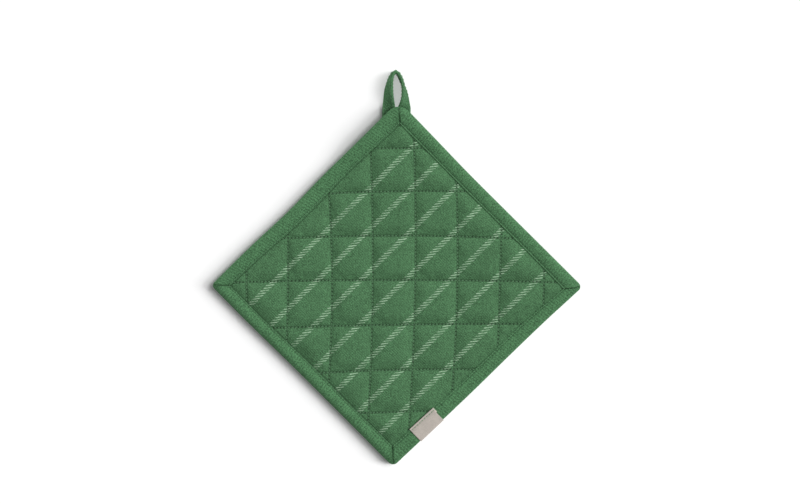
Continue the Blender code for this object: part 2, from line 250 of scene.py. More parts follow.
# ------------------------------------------------------------------ sizes and colours to change


class QuiltSettings(bpy.types.PropertyGroup):
    """How the quilt is filled and sewn"""

    cell_steps: IntProperty(
        name="Steps per cell", description="Grid steps across a quilted cell", default=18, min=4
    )
    puff_rise: FloatProperty(
        name="Puff rise",
        description="How far a puff stands over its seams on the face",
        default=0.0029,
        unit="LENGTH",
    )
    puff_sag: FloatProperty(
        name="Puff sag",
        description="How far a puff hangs below its seams on the underside",
        default=0.0024,
        unit="LENGTH",
    )
    spare_cloth: FloatProperty(
        name="Spare cloth",
        description="Share by which the cloth is longer than its seams, which puckers it",
        default=0.025,
        subtype="FACTOR",
    )
    pressure: FloatProperty(
        name="Filling", description="Pressure of the wadding against the cloth", default=100.0
    )


class BindingSettings(bpy.types.PropertyGroup):
    """The finer forms of the binding"""

    station_pitch: FloatProperty(
        name="Section pitch",
        description="Distance between two sections of the binding",
        default=0.00101,
        unit="LENGTH",
    )
    groove_depth: FloatProperty(
        name="Topstitch depth",
        description="How deep the topstitching pulls the binding down",
        default=0.00045,
        unit="LENGTH",
    )
    mitre_rise: FloatProperty(
        name="Mitre rise",
        description="How far the upper layer of a mitre stands over the lower one",
        default=0.0006,
        unit="LENGTH",
    )
    ripple: FloatProperty(
        name="Ripple", description="Unevenness of the binding's faces", default=0.00012, unit="LENGTH"
    )


class StripSettings(bpy.types.PropertyGroup):
    """The hanging loop and the label"""

    loop_pitch: FloatProperty(
        name="Loop section pitch",
        description="Distance between two sections of the hanging loop",
        default=0.0007,
        unit="LENGTH",
    )
    tape_thickness: FloatProperty(
        name="Tape thickness",
        description="Thickness of the label's tape",
        default=0.0005,
        unit="LENGTH",
    )


class ThreadSettings(bpy.types.PropertyGroup):
    """The sewing thread"""

    thread_width: FloatProperty(
        name="Thread width", description="Diameter of the sewing thread", default=0.00042, unit="LENGTH"
    )
    slant: FloatProperty(
        name="Slant",
        description="How far each stitch turns away from its row",
        default=math.radians(4),
        subtype="ANGLE",
    )


class ColourSettings(bpy.types.PropertyGroup):
    """Colours of the cloths, the thread and the tape"""

    cloth: FloatVectorProperty(
        name="Quilt cloth",
        description="Green of the quilt's twill",
        default=(0.066, 0.158, 0.074),
        subtype="COLOR",
    )
    stripe: FloatVectorProperty(
        name="Stripe",
        description="Pale green of the woven stripes",
        default=(0.34, 0.50, 0.34),
        subtype="COLOR",
    )
    binding: FloatVectorProperty(
        name="Binding cloth",
        description="Green of the binding's twill",
        default=(0.0675, 0.1675, 0.0770),
        subtype="COLOR",
    )
    thread: FloatVectorProperty(
        name="Thread",
        description="Green of the sewing thread",
        default=(0.120, 0.255, 0.132),
        subtype="COLOR",
    )
    tape: FloatVectorProperty(
        name="Tape", description="Pale grey of the label", default=(0.44, 0.40, 0.36), subtype="COLOR"
    )


class StageSettings(bpy.types.PropertyGroup):
    """Camera, light and table"""

    lens: FloatProperty(
        name="Lens", description="Focal length of the camera", default=90.0, unit="CAMERA"
    )
    frame_width: FloatProperty(
        name="Frame width",
        description="Width of the table that the picture shows",
        default=0.6819,
        unit="LENGTH",
    )
    table: FloatVectorProperty(
        name="Table", description="White of the table", default=(0.95, 0.95, 0.95), subtype="COLOR"
    )
    table_light: FloatProperty(
        name="Table light", description="Strength of the lights on the table", default=1.0
    )
    cloth_light: FloatProperty(
        name="Cloth light", description="Strength of the lights on the pot holder", default=1.0
    )
    room_light: FloatProperty(
        name="Room light", description="Strength of the light from all round", default=0.25
    )


# ------------------------------------------------------------------ forms in plan


def smooth_step(low, high, value):
    """0 below low, 1 above high and an even S between them."""
    share = np.clip((value - low) / (high - low), 0.0, 1.0)
    return share * share * (3 - 2 * share)


def between(before, start, end, beyond, share):
    """Smooth way from start to end, at a share of it, led by the values before and beyond them."""
    slope_in, slope_out = (end - before) / 2, (beyond - start) / 2
    bend = 3 * (end - start) - 2 * slope_in - slope_out
    twist = 2 * (start - end) + slope_in + slope_out
    return start + share * (slope_in + share * (bend + share * twist))


def curve_at(values, share):
    """Smooth curve through evenly spaced values, read at shares of its length."""
    values = np.asarray(values, float)
    last = len(values) - 1
    place = np.clip(share, 0.0, 1.0) * last
    step = np.minimum(place.astype(int), last - 1)
    before, beyond = np.maximum(step - 1, 0), np.minimum(step + 2, last)
    return between(values[before], values[step], values[step + 1], values[beyond], place - step)


def closed_curve(points, steps):
    """Smooth closed outline through the points, with that many steps from each to the next."""
    points = np.asarray(points, float)
    before, after, beyond = (np.roll(points, places, 0) for places in (1, -1, -2))
    rows = [between(before, points, after, beyond, step / steps) for step in range(steps)]
    return np.stack(rows, 1).reshape(-1, points.shape[1])


# Soft unevenness is a sum of waves: each turned on from the last, shifted and a little longer. Lumps
# of it have their share of the whole, their size and a seed of their own.
Lumps = namedtuple("Lumps", "share scale seed")
WAVES = 5
WAVE_TURN = 2.4
WAVE_SHIFT = 1.7
SHORTEST_WAVE = 0.7
WAVE_GROWTH = 0.19


def uneven(xy, scale, seed):
    """Soft unevenness from -1 to 1 over a surface, in lumps of about that scale."""
    total = 0.0
    for wave in range(WAVES):
        turn = seed + wave * WAVE_TURN
        direction = np.array((math.cos(turn), math.sin(turn)))
        length = scale * (SHORTEST_WAVE + WAVE_GROWTH * wave)
        total = total + np.sin(xy @ direction * (math.tau / length) + WAVE_SHIFT * wave + seed)
    return total / WAVES


def side_frame(side):
    """A side's start, its direction, its inward direction and its length between sharp corners."""
    start = np.array(CORNERS[side][:2])
    run = np.array(CORNERS[(side + 1) % 4][:2]) - start
    length = math.hypot(*run)
    along = run / length
    return start, along, np.array((along[1], -along[0])), length


def side_path_length(side):
    """Length of a side's outline from the middle of one rounded corner to that of the next."""
    first, last = CORNERS[side].radius, CORNERS[(side + 1) % 4].radius
    return (first + last) * (math.pi / 4 - 1) + side_frame(side)[3]


def outer_point(side, share):
    """Points of the outline at shares of the side, counted from the middle of one rounded corner."""
    start, along, inwards, length = side_frame(side)
    first, last = CORNERS[side].radius, CORNERS[(side + 1) % 4].radius
    eighth = math.pi / 4
    passed = np.asarray(share, float) * side_path_length(side)
    turn_in = np.clip(eighth - passed / first, 0.0, None)
    turn_out = np.clip((passed - eighth * first - (length - first - last)) / last, 0.0, None)
    straight = passed - eighth * first + first
    on_side = np.where(turn_in > 0, first - first * np.sin(turn_in), straight)
    on_side = np.where(turn_out > 0, length - last + last * np.sin(turn_out), on_side)
    inset = first * (1 - np.cos(turn_in)) + last * (1 - np.cos(turn_out))
    inset = inset + curve_at(SIDES[side].drawn_in, on_side / length)
    return start + on_side[:, None] * along + inset[:, None] * inwards


def inner_ends(side):
    """Where the binding's inner edge starts and ends along a side."""
    return SIDES[side - 1].widths[-1], side_frame(side)[3] - SIDES[(side + 1) % 4].widths[0]


def inner_point(side, share):
    """Points of the binding's inner edge at shares of the side, between two mitres."""
    start, along, inwards, length = side_frame(side)
    first, last = inner_ends(side)
    share = np.asarray(share, float)
    on_side = first + share * (last - first)
    inset = curve_at(SIDES[side].widths, share) + curve_at(SIDES[side].drawn_in, on_side / length)
    return start + on_side[:, None] * along + inset[:, None] * inwards


def across_binding(side, share, across):
    """Points of the binding in plan, from its outer edge at across 0 to its inner edge at 1."""
    outer, inner = outer_point(side, share), inner_point(side, share)
    return outer + (inner - outer) * np.reshape(across, (-1, 1))


def border(xy):
    """How far inside the nearest side's binding points lie, its width there, and that side."""
    distances, widths = [], []
    for side in range(4):
        start, along, inwards, length = side_frame(side)
        first, last = inner_ends(side)
        on_side = (xy - start) @ along
        width = curve_at(SIDES[side].widths, (on_side - first) / (last - first))
        drawn_in = curve_at(SIDES[side].drawn_in, on_side / length)
        distances.append((xy - start) @ inwards - drawn_in - width)
        widths.append(width)
    nearest, every = np.argmin(distances, 0), np.arange(len(xy))
    return np.array(distances)[nearest, every], np.array(widths)[nearest, every], nearest


def lift(xy):
    """How far the edge is raised by the loop's legs and by the label that lie under it."""
    by_loop = LOOP_LIFT * smooth_step(LOOP_LIFT_NONE_Y, LOOP_LIFT_FULL_Y, xy[:, 1])
    start, along, inwards, length = side_frame(LABEL_SIDE)
    middle = length - LABEL_START - LABEL_LENGTH / 2
    beside = np.abs((xy - start) @ along - middle) - LABEL_LENGTH / 2 - LABEL_LIFT_MARGIN
    inside = (xy - start) @ inwards - SIDES[LABEL_SIDE].widths[2]
    by_label = LABEL_LIFT * smooth_step(LABEL_LIFT_FADE, 0.0, beside)
    return by_loop + by_label * smooth_step(LABEL_LIFT_INWARDS, 0.0, inside)


# ------------------------------------------------------------------ the quilting seams


def seam_lines(seams, along):
    """Places of all the seams, and of a line outside each end, at distances along them."""
    share = np.asarray(along, float) / SEAM_REACH
    lines = []
    for seam in seams:
        slope, bow = (seam.high - seam.low) / 2, (seam.high + seam.low) / 2 - seam.middle
        lines.append(seam.middle + share * slope + share * share * bow)
    return np.array([lines[0] - SEAM_PITCH, *lines, lines[-1] + SEAM_PITCH])


def read_lines(lines, count):
    """Place of a grid line, where whole counts are seams and parts of one lie between them."""
    step = np.minimum(count.astype(int), len(lines) - 2)
    here = np.take_along_axis(lines, step[None], 0)[0]
    there = np.take_along_axis(lines, step[None] + 1, 0)[0]
    return here + (count - step) * (there - here)


# The x of an upright seam depends on y and the y of a level seam on x, and this many rounds settle both
SETTLING_ROUNDS = 3


def lattice_place(columns, rows):
    """Points in plan of the seam lattice, at columns and rows counted in seams."""
    x = read_lines(seam_lines(UPRIGHT_SEAMS, np.zeros_like(columns)), columns)
    for _ in range(SETTLING_ROUNDS):
        y = read_lines(seam_lines(LEVEL_SEAMS, x), rows)
        x = read_lines(seam_lines(UPRIGHT_SEAMS, y), columns)
    return np.stack((x, y), 1)


def count_in(lines, places):
    """Count of seams passed at each place, whole on a seam."""
    step = np.clip((lines <= places).sum(0) - 1, 0, len(lines) - 2)
    here = np.take_along_axis(lines, step[None], 0)[0]
    there = np.take_along_axis(lines, step[None] + 1, 0)[0]
    return step + (places - here) / (there - here)


def lattice_of(xy):
    """Column and row of the seam lattice at points in plan."""
    columns = count_in(seam_lines(UPRIGHT_SEAMS, xy[:, 1]), xy[:, 0])
    rows = count_in(seam_lines(LEVEL_SEAMS, xy[:, 0]), xy[:, 1])
    return columns, rows


def from_seam(count, seams):
    """Distance to the nearest real seam, in metres, for counts of seams."""
    nearest = np.clip(np.round(count), 1, len(seams))
    return np.abs(count - nearest) * SEAM_PITCH


def swell(distance, reach):
    """Rise of a puff, from 0 at its seam to 1 at its crown: steep first and then round."""
    share = np.clip(distance / reach, 0.0, 1.0)
    return (1 - (1 - share) ** SWELL_ROUNDNESS) ** SWELL_STEEPNESS


def puff(xy, inside):
    """How full the quilt is at points: 0 in a seam, 1 in the middle of a puff."""
    columns, rows = lattice_of(xy)
    full = swell(from_seam(columns, UPRIGHT_SEAMS), SEAM_PITCH / 2)
    full = full * swell(from_seam(rows, LEVEL_SEAMS), SEAM_PITCH / 2)
    return full * swell(inside, BORDER_REACH)


def quilt_heights(xy, rise, sag):
    """Heights of the quilt's face and underside at points, inside the binding and between its folds."""
    inside, width, _ = border(xy)
    full = puff(xy, inside)
    seam_top = BORDER_TOP + (SEAM_TOP - BORDER_TOP) * smooth_step(0.0, BORDER_REACH, inside)
    across, tops, undersides = zip(*EDGES)
    share = 1 + inside / width
    covered = inside < 0
    face = np.where(covered, np.interp(share, across, tops), seam_top + rise * full)
    underside = np.where(
        covered, np.interp(share, across, undersides), np.maximum(SEAM_UNDERSIDE - sag * full, 0.0)
    )
    raised = lift(xy)
    return face + raised, underside + raised


# ------------------------------------------------------------------ meshes


def in_frame(points):
    """Points measured from the quilt's middle, moved to their place in the frame."""
    placed = np.array(points, float)
    placed[:, :2] += QUILT_MIDDLE
    return placed


def vertex_array(mesh):
    """The mesh's vertices as rows."""
    places = np.empty(len(mesh.vertices) * 3)
    mesh.vertices.foreach_get("co", places)
    return places.reshape(-1, 3)


def set_vertices(mesh, places):
    """Move the mesh's vertices to the rows given."""
    mesh.vertices.foreach_set("co", np.asarray(places, np.float32).ravel())
    mesh.update()


def store(mesh, name, values):
    """Keep a number or a vector for each vertex, where the finish reads it."""
    values = np.asarray(values, np.float32)
    kind, field = ("FLOAT", "value") if values.ndim == 1 else ("FLOAT_VECTOR", "vector")
    mesh.attributes.new(name, kind, "POINT").data.foreach_set(field, values.ravel())


def new_piece(name, mesh, material):
    """An object of a finished mesh, shaded smooth."""
    mesh.shade_smooth()
    mesh.materials.append(material)
    piece = bpy.data.objects.new(name, mesh)
    bpy.context.scene.collection.objects.link(piece)
    return piece


def woven_piece(name, places, faces, weave, material):
    """An object of vertices and faces. weave is each vertex's place in the weave."""
    mesh = bpy.data.meshes.new(name)
    mesh.from_pydata(places.tolist(), [], faces)
    store(mesh, "weave", weave)
    return new_piece(name, mesh, material)


def pick(piece):
    """Make the piece the only one selected, and the active one."""
    bpy.ops.object.select_all(action="DESELECT")
    piece.select_set(True)
    bpy.context.view_layer.objects.active = piece


def loft(name, sections, weave, material, closed):
    """A cloth of equal sections, each a closed outline. weave is each point's place in the weave."""
    count, size = sections.shape[:2]
    rows = np.arange(count * size).reshape(count, size)
    following = np.roll(rows, -1, 0) if closed else rows[1:]
    here = rows if closed else rows[:-1]
    quads = np.stack((here, following, np.roll(following, -1, 1), np.roll(here, -1, 1)), 2)
    faces = quads.reshape(-1, 4).tolist()
    if not closed:
        faces += [rows[0][::-1].tolist(), rows[-1].tolist()]
    places = in_frame(sections.reshape(-1, 3))
    piece = woven_piece(name, places, faces, weave.reshape(-1, 3), material)
    pick(piece)
    bpy.ops.object.mode_set(mode="EDIT")
    bpy.ops.mesh.select_all(action="SELECT")
    bpy.ops.mesh.normals_make_consistent(inside=False)
    bpy.ops.object.mode_set(mode="OBJECT")
    return piece


CAP_STEPS = 4


def cloth_outline(centre, thickness):
    """Closed outline of a cloth's section: its centre line thickened both ways, with round ends."""
    centre = np.asarray(centre, float)
    run = np.gradient(centre, axis=0)
    run /= np.linalg.norm(run, axis=1)[:, None]
    square = np.stack((-run[:, 1], run[:, 0]), 1)
    half = thickness / 2
    turns = np.linspace(0, math.pi, CAP_STEPS + 1)[1:-1, None]
    end = centre[-1] + half * (square[-1] * np.cos(turns) + run[-1] * np.sin(turns))
    start = centre[0] - half * (square[0] * np.cos(turns) + run[0] * np.sin(turns))
    return np.concatenate((centre + half * square, end, (centre - half * square)[::-1], start))


def around_outline(values):
    """Values of a centre line's points, carried to the points of its outline."""
    cap = np.ones(CAP_STEPS - 1)
    return np.concatenate((values, cap * values[-1], values[::-1], cap * values[0]))


def travelled(points):
    """Distance along a row of points."""
    steps = np.linalg.norm(np.diff(points, axis=0), axis=1)
    return np.concatenate(((0.0,), np.cumsum(steps)))


# ------------------------------------------------------------------ shader maths


class Field:
    """A shader socket that takes part in arithmetic: each operation adds a Math node."""

    def __init__(self, finish, socket):
        self.finish = finish
        self.socket = socket

    def maths(self, operation, *values):
        return self.finish.node(
            "ShaderNodeMath", {"operation": operation}, dict(enumerate((self, *values)))
        )

    def __add__(self, other):
        return self.maths("ADD", other)

    __radd__ = __add__

    def __mul__(self, other):
        return self.maths("MULTIPLY", other)

    __rmul__ = __mul__

    def __sub__(self, other):
        return self.maths("SUBTRACT", other)

    def __rsub__(self, other):
        return (self * -1.0) + other

    def __abs__(self):
        return self.maths("ABSOLUTE")

    def lower(self, other):
        return self.maths("MINIMUM", other)

    def higher(self, other):
        return self.maths("MAXIMUM", other)

    def wave(self, pitch, shift=0.0):
        """An even wave from 0 to 1 that repeats at that pitch."""
        turned = self * (math.tau / pitch) + shift
        return turned.maths("COSINE") * 0.5 + 0.5

    def to_whole(self):
        """Distance to the nearest whole number."""
        return abs(self - self.maths("ROUND"))

    def rise(self, low, high):
        """0 below low, 1 above high and an even S between them."""
        return self.finish.node(
            "ShaderNodeMapRange",
            {"interpolation_type": "SMOOTHSTEP"},
            {"Value": self, "From Min": low, "From Max": high},
        )


# The colour sockets of a Mix node, by number, because its other kinds have sockets of the same names
MIX_FIRST, MIX_SECOND = 6, 7
MIX_RESULT = 2


class Finish:
    """A new material with its nodes and its shader."""

    def __init__(self, name):
        self.material = bpy.data.materials.new(name)
        self.material.use_nodes = True
        self.tree = self.material.node_tree
        self.shader = self.tree.nodes["Principled BSDF"]

    def node(self, kind, settings=None, sockets=None, output=0):
        """A node of a kind, its settings first and then the values or links of its sockets."""
        made = self.tree.nodes.new(kind)
        for name, value in (settings or {}).items():
            setattr(made, name, value)
        for name, value in (sockets or {}).items():
            self.feed(made.inputs[name], value)
        return Field(self, made.outputs[output])

    def feed(self, socket, value):
        """Link a field to a socket, or set the socket's own value."""
        if isinstance(value, Field):
            self.tree.links.new(value.socket, socket)
        else:
            socket.default_value = value

    def surface(self, sockets):
        """Feed the shader's sockets, and hand over the finished material."""
        for name, value in sockets.items():
            self.feed(self.shader.inputs[name], value)
        return self.material

    def blend(self, share, first, second):
        """First colour where share is 0, second where it is 1."""
        sockets = {"Factor": share, MIX_FIRST: first, MIX_SECOND: second}
        return self.node("ShaderNodeMix", {"data_type": "RGBA"}, sockets, MIX_RESULT)

    def split(self, vector):
        """The three numbers of a vector."""
        first = self.node("ShaderNodeSeparateXYZ", sockets={"Vector": vector})
        return [Field(self, socket) for socket in first.socket.node.outputs]

    def places(self, location=(0.0, 0.0, 0.0), turn=0.0):
        """Object coordinates, moved and then turned about Z."""
        plain = self.node("ShaderNodeTexCoord", output="Object")
        moved = self.node("ShaderNodeMapping", {}, {"Vector": plain, "Location": location})
        return self.node("ShaderNodeMapping", {}, {"Vector": moved, "Rotation": (0, 0, turn)})

    def attribute(self, name, output="Vector"):
        """A vector stored on the mesh, or a number with the output Fac."""
        return self.node("ShaderNodeAttribute", {"attribute_name": name}, output=output)

    def noise(self, vector, scale, detail=2.0):
        """Soft noise from 0 to 1, with that many lumps in a metre."""
        sockets = {"Vector": vector, "Scale": scale, "Detail": detail}
        return self.node("ShaderNodeTexNoise", sockets=sockets)

    def bump(self, height, depth):
        """Normals of a relief whose height field goes from 0 to 1 over that depth."""
        sockets = {"Height": height, "Distance": depth, "Strength": 1.0}
        return self.node("ShaderNodeBump", sockets=sockets)


def shade(colour, factor=1.0):
    """A colour made lighter or darker, as a colour socket takes it."""
    return (*(min(channel * factor, 1.0) for channel in colour[:3]), 1.0)


# ------------------------------------------------------------------ finishes

# Lumps of noise in a metre: patches of dye, worn spots, fibres, yarns and single specks of cotton
DYE_PATCHES = 60.0
WORN_SPOTS = 330.0
FIBRES = 420.0
YARNS = 620.0
SPECKS = 1450.0

# Cotton: how much each thing lightens or darkens it, how much each raises it, and its range of shades
DYE_TONE = 0.45
YARN_TONE = 0.6
RIB_MEAN = 0.4
RIB_RELIEF = 0.8
YARN_RELIEF = 0.6
SPECK_RELIEF = 0.3
DARKEST, PALEST = 0.60, 1.40
ROUGH_COTTON = 0.96
RIB_POLISH = 0.08
COTTON_SPECULAR = 0.08
Cotton = namedtuple("Cotton", "rib_tone speck_tone relief")
QUILT_COTTON = Cotton(0.24, 3.8, 0.00020)
BINDING_COTTON = Cotton(0.55, 5.2, 0.00022)

# Twill: how far its floats lean and are set apart, and how high a rib stays between two of them
FLOAT_LEAN = 0.5
FLOAT_SPACING = 1.4
FLOAT_LOW = 0.55

# The stripes: how soft and frayed their edges and strokes are, and how much of them is worn off
STRIPE_SOFTNESS = 0.0003
STRIPE_FRAY = 0.0014
STROKE_FRAY = 0.0007
STROKE_EDGE = 0.42, 0.95
WORN_EDGE = 0.36, 0.60
STRIPE_LEAST = 0.40
STRIPE_SWING = 0.55
STRIPE_RELIEF = 0.6
GROUND_FRAY = 0.0006

# Painted shade in the seams, in the needle holes and under the binding's inner edge: between which
# distances it fades, along the seam in stitches, how dark each is and how dark the painted shade's own
# green
SEAM_FADE = 0.0003, 0.0012
HOLE_FADE = 0.00025, 0.0008
HOLE_LENGTH = 0.10, 0.34
LIP_FADE = 0.0006, 0.0013
SEAM_PAINTED_SHADE = 0.40
HOLE_PAINTED_SHADE = 0.52
LIP_PAINTED_SHADE = 1.2
LEAST_LIP_PAINTED_SHADE = 0.08
HOLE_RELIEF = 1.5
PAINTED_SHADE_TONE = 0.22

# The lattice attribute says how far inside the binding a point of the face lies. A point below has
# ON_UNDERSIDE there instead, and FACE_EDGE lies between the two.
ON_UNDERSIDE = -1.0
FACE_EDGE = -0.020, -0.019

# The ribs of the binding wander with the fibres
RIB_FRAY_ALONG = 0.0010
RIB_FRAY_ACROSS = 0.0012

# The label's tape: its threads, its lumps in a metre and its shades
WARP_PITCH = 0.00042
WEFT_PITCH = 0.00036
TAPE_PATCHES = 160.0
TAPE_SPECKS = 1200.0
TAPE_WEAVE_TONE = 0.35
TAPE_UNEVEN_TONE = 0.45
TAPE_EDGE_TONE = 0.5
TAPE_DARKER = 0.1
TAPE_DARKEST, TAPE_PALEST = 0.74, 1.30
TAPE_RELIEF = 0.00008

# The sewing thread: its twist, its lumps in a metre and its shades
TWIST_PITCH = 0.00055
TWIST_LEAN = 0.6
THREAD_PATCHES = 300.0
THREAD_DARKEST, THREAD_PALEST = 0.7, 1.45
TWIST_RELIEF = 0.00006


def twill(along, across, pitch):
    """Height of a twill from 0 to 1: diagonal ribs, each a row of short floats."""
    floats = (along + across * FLOAT_LEAN).wave(pitch * FLOAT_SPACING)
    return across.wave(pitch) * (floats * (1 - FLOAT_LOW) + FLOAT_LOW)


def cotton(finish, kind, colour, plain, ribs, wear_and_painted_shade=0.0):
    """Uneven cotton with hardly any gloss: its colour, mottled by dye and yarns, and its relief."""
    dye = finish.noise(plain, DYE_PATCHES, 4.0)
    yarn = finish.noise(plain, YARNS)
    speck = finish.noise(plain, SPECKS, 1.0)
    light = (dye - 0.5) * DYE_TONE + (yarn - 0.5) * YARN_TONE + (speck - 0.5) * kind.speck_tone
    light = light + (ribs - RIB_MEAN) * kind.rib_tone + wear_and_painted_shade + 0.5
    roughness = ROUGH_COTTON - ribs * RIB_POLISH
    finish.surface({"Roughness": roughness, "Specular IOR Level": COTTON_SPECULAR})
    relief = ribs * RIB_RELIEF + yarn * YARN_RELIEF + speck * SPECK_RELIEF
    return finish.blend(light, shade(colour, DARKEST), shade(colour, PALEST)), relief


def stripe_strokes(finish, plain, fibre, along, square, face):
    """Where the woven stripes show, from 0 to 1: bands of slanting strokes, frayed and partly worn."""
    nearest, *others = [abs(square + place) for place in STRIPE_PLACES]
    for away in others:
        nearest = nearest.lower(away)
    edge = nearest + (fibre - 0.5) * STRIPE_FRAY
    band = 1 - edge.rise(STRIPE_HALF_WIDTH - STRIPE_SOFTNESS, STRIPE_HALF_WIDTH + STRIPE_SOFTNESS)
    lean = STRIPE_ANGLE - STROKE_ANGLE
    climb = along * math.sin(lean) + square * math.cos(lean) + fibre * STROKE_FRAY
    stroke = climb.wave(STROKE_PITCH).rise(*STROKE_EDGE)
    left = finish.noise(plain, WORN_SPOTS).rise(*WORN_EDGE)
    return band * stroke * face * (left * STRIPE_SWING + STRIPE_LEAST)


def seam_marks(column, row):
    """How near a quilting seam and a needle hole are, each from 0 to 1."""
    from_upright, from_level = column.to_whole() * SEAM_PITCH, row.to_whole() * SEAM_PITCH
    near_seam = 1 - from_upright.lower(from_level).rise(*SEAM_FADE)
    holes = []
    for off_seam, run in ((from_upright, row), (from_level, column)):
        off_hole = (run * float(STITCHES_PER_CELL)).to_whole()
        holes.append((1 - off_seam.rise(*HOLE_FADE)) * (1 - off_hole.rise(*HOLE_LENGTH)))
    return near_seam, holes[0].higher(holes[1])


def quilt_finish(colours):
    """Green twill with pale woven stripes on its face, and painted shade in its seams, its needle holes
    and under the binding's inner edge.
    """
    finish = Finish("quilt_twill")
    centred = (*(-QUILT_MIDDLE), 0.0)
    plain = finish.places(location=centred)
    along, square, _ = finish.split(finish.places(location=centred, turn=-STRIPE_ANGLE))
    column, row, inside = finish.split(finish.attribute("lattice"))
    face = inside.rise(*FACE_EDGE)
    fibre = finish.noise(plain, FIBRES)
    pale = stripe_strokes(finish, plain, fibre, along, square, face)
    # Painted shade: darker in the seams, in the needle holes and in a band under the binding's inner
    # edge
    near_seam, holes = seam_marks(column, row)
    painted_shade_under_lip = face * (1 - inside.rise(*LIP_FADE))
    lip = finish.attribute("lip", output="Fac") * LIP_PAINTED_SHADE + LEAST_LIP_PAINTED_SHADE
    painted_shade = near_seam * SEAM_PAINTED_SHADE + holes * HOLE_PAINTED_SHADE + painted_shade_under_lip * lip

    ribs = twill(square, along + fibre * GROUND_FRAY, GROUND_PITCH)
    ground, relief = cotton(finish, QUILT_COTTON, colours.cloth, plain, ribs)
    striped = finish.blend(pale, ground, shade(colours.stripe))
    relief = relief + pale * STRIPE_RELIEF - holes * HOLE_RELIEF
    return finish.surface({
        "Base Color": finish.blend(painted_shade, striped, shade(colours.cloth, PAINTED_SHADE_TONE)),
        "Normal": finish.bump(relief, QUILT_COTTON.relief),
    })


def binding_finish(name, colour, pitch):
    """Green twill of a binding or a strip, whose ribs follow the weave laid on its mesh, with the wear
    and painted shade that the weave carries.
    """
    finish = Finish(name)
    plain = finish.places()
    along, across, wear_and_painted_shade = finish.split(finish.attribute("weave"))
    fibre = finish.noise(plain, WORN_SPOTS)
    ribs = twill(along + fibre * RIB_FRAY_ALONG, across + fibre * RIB_FRAY_ACROSS, pitch)
    ground, relief = cotton(finish, BINDING_COTTON, colour, plain, ribs, wear_and_painted_shade)
    return finish.surface({
        "Base Color": ground,
        "Normal": finish.bump(relief, BINDING_COTTON.relief),
    })


def tape_finish(colour):
    """Pale woven tape with a fine plain weave, lighter along its turned-in fold."""
    finish = Finish("label_tape")
    along, across, paler_fold = finish.split(finish.attribute("weave"))
    plain = finish.places()
    patches = finish.noise(plain, TAPE_PATCHES, 3.0)
    specks = finish.noise(plain, TAPE_SPECKS, 1.0)
    weave = along.wave(WARP_PITCH) * 0.5 + across.wave(WEFT_PITCH) * 0.5
    light = weave * TAPE_WEAVE_TONE + patches * TAPE_UNEVEN_TONE + specks * TAPE_UNEVEN_TONE
    light = light - TAPE_DARKER + paler_fold * TAPE_EDGE_TONE
    return finish.surface({
        "Base Color": finish.blend(light, shade(colour, TAPE_DARKEST), shade(colour, TAPE_PALEST)),
        "Roughness": 0.85 - weave * 0.10,
        "Specular IOR Level": 0.1,
        "Normal": finish.bump(weave, TAPE_RELIEF),
    })


def thread_finish(colour):
    """Twisted sewing thread."""
    finish = Finish("sewing_thread")
    across, along, _ = finish.split(finish.attribute("weave"))
    twist = (along + across * TWIST_LEAN).wave(TWIST_PITCH)
    patches = finish.noise(finish.places(), THREAD_PATCHES, 1.0)
    light = twist * 0.5 + patches * 0.5
    return finish.surface({
        "Base Color": finish.blend(light, shade(colour, THREAD_DARKEST), shade(colour, THREAD_PALEST)),
        "Roughness": 0.75 - twist * 0.15,
        "Specular IOR Level": 0.2,
        "Normal": finish.bump(twist, TWIST_RELIEF),
    })


# ------------------------------------------------------------------ the quilt

# The flat grid: how far it reaches under the binding, where it is cut off there, and the share of a
# side at which the cut is laid
LATTICE_MARGIN = 0.017
QUILT_EDGE_ACROSS = 0.22
CUT_AT = 0.03, 0.97
SLIVER = 0.0005
UNDERSIDE_STEP = 0.001

# The filling: its frames, how unevenly the cloth was cut, how full the puffs are before it swells them
# and the furthest that it may move them, and what it can't move
SIMULATED_FRAMES = 20
SLACK = Lumps(0.10, 0.055, 1.0), Lumps(0.06, 0.024, 4.0)
UNFILLED = 0.65
PUFF_MOVE_LIMIT = 0.0016
HELD_INSIDE = 0.0006

# The seams: how near a point on one lies to it, in metres, how alike two points of one grid line are,
# in cells, and how sharp the seams stay
ON_SEAM = 1e-4
SAME_ROW = 1e-3
SEAM_CREASE = 0.55

# The needle holes: how deep and wide they are, and how far under the binding the last ones lie
HOLE_DEPTH = 0.00035
HOLE_REACH = 0.0007
HOLES_END = -0.001


def quilt_sheet(bm, steps):
    """Flat grid of the quilt with its lines on the seams, cut off under the binding."""
    column_count = (len(UPRIGHT_SEAMS) + 1) * steps
    row_count = (len(LEVEL_SEAMS) + 1) * steps
    columns, rows = np.meshgrid(
        np.arange(column_count + 1) / steps, np.arange(row_count + 1) / steps, indexing="ij"
    )
    places = lattice_place(columns.ravel(), rows.ravel())
    kept = border(places)[0] > -LATTICE_MARGIN
    grid = {}
    for index in np.flatnonzero(kept):
        grid[index] = bm.verts.new((places[index, 0], places[index, 1], 0.0))
    stride = row_count + 1
    for index in grid:
        ring = (index, index + stride, index + stride + 1, index + 1)
        if (index + 1) % stride and all(place in grid for place in ring):
            bm.faces.new([grid[place] for place in ring])
    loose = [vert for vert in bm.verts if not vert.link_faces]
    bmesh.ops.delete(bm, geom=loose, context="VERTS")
    for side in range(4):
        inwards = side_frame(side)[2]
        middle = across_binding(side, np.array(CUT_AT), QUILT_EDGE_ACROSS).mean(0)
        bmesh.ops.bisect_plane(
            bm,
            geom=bm.verts[:] + bm.edges[:] + bm.faces[:],
            dist=1e-6,
            plane_co=(*middle, 0.0),
            plane_no=(*(-inwards), 0.0),
            clear_outer=True,
        )
    bmesh.ops.remove_doubles(bm, verts=bm.verts[:], dist=SLIVER)


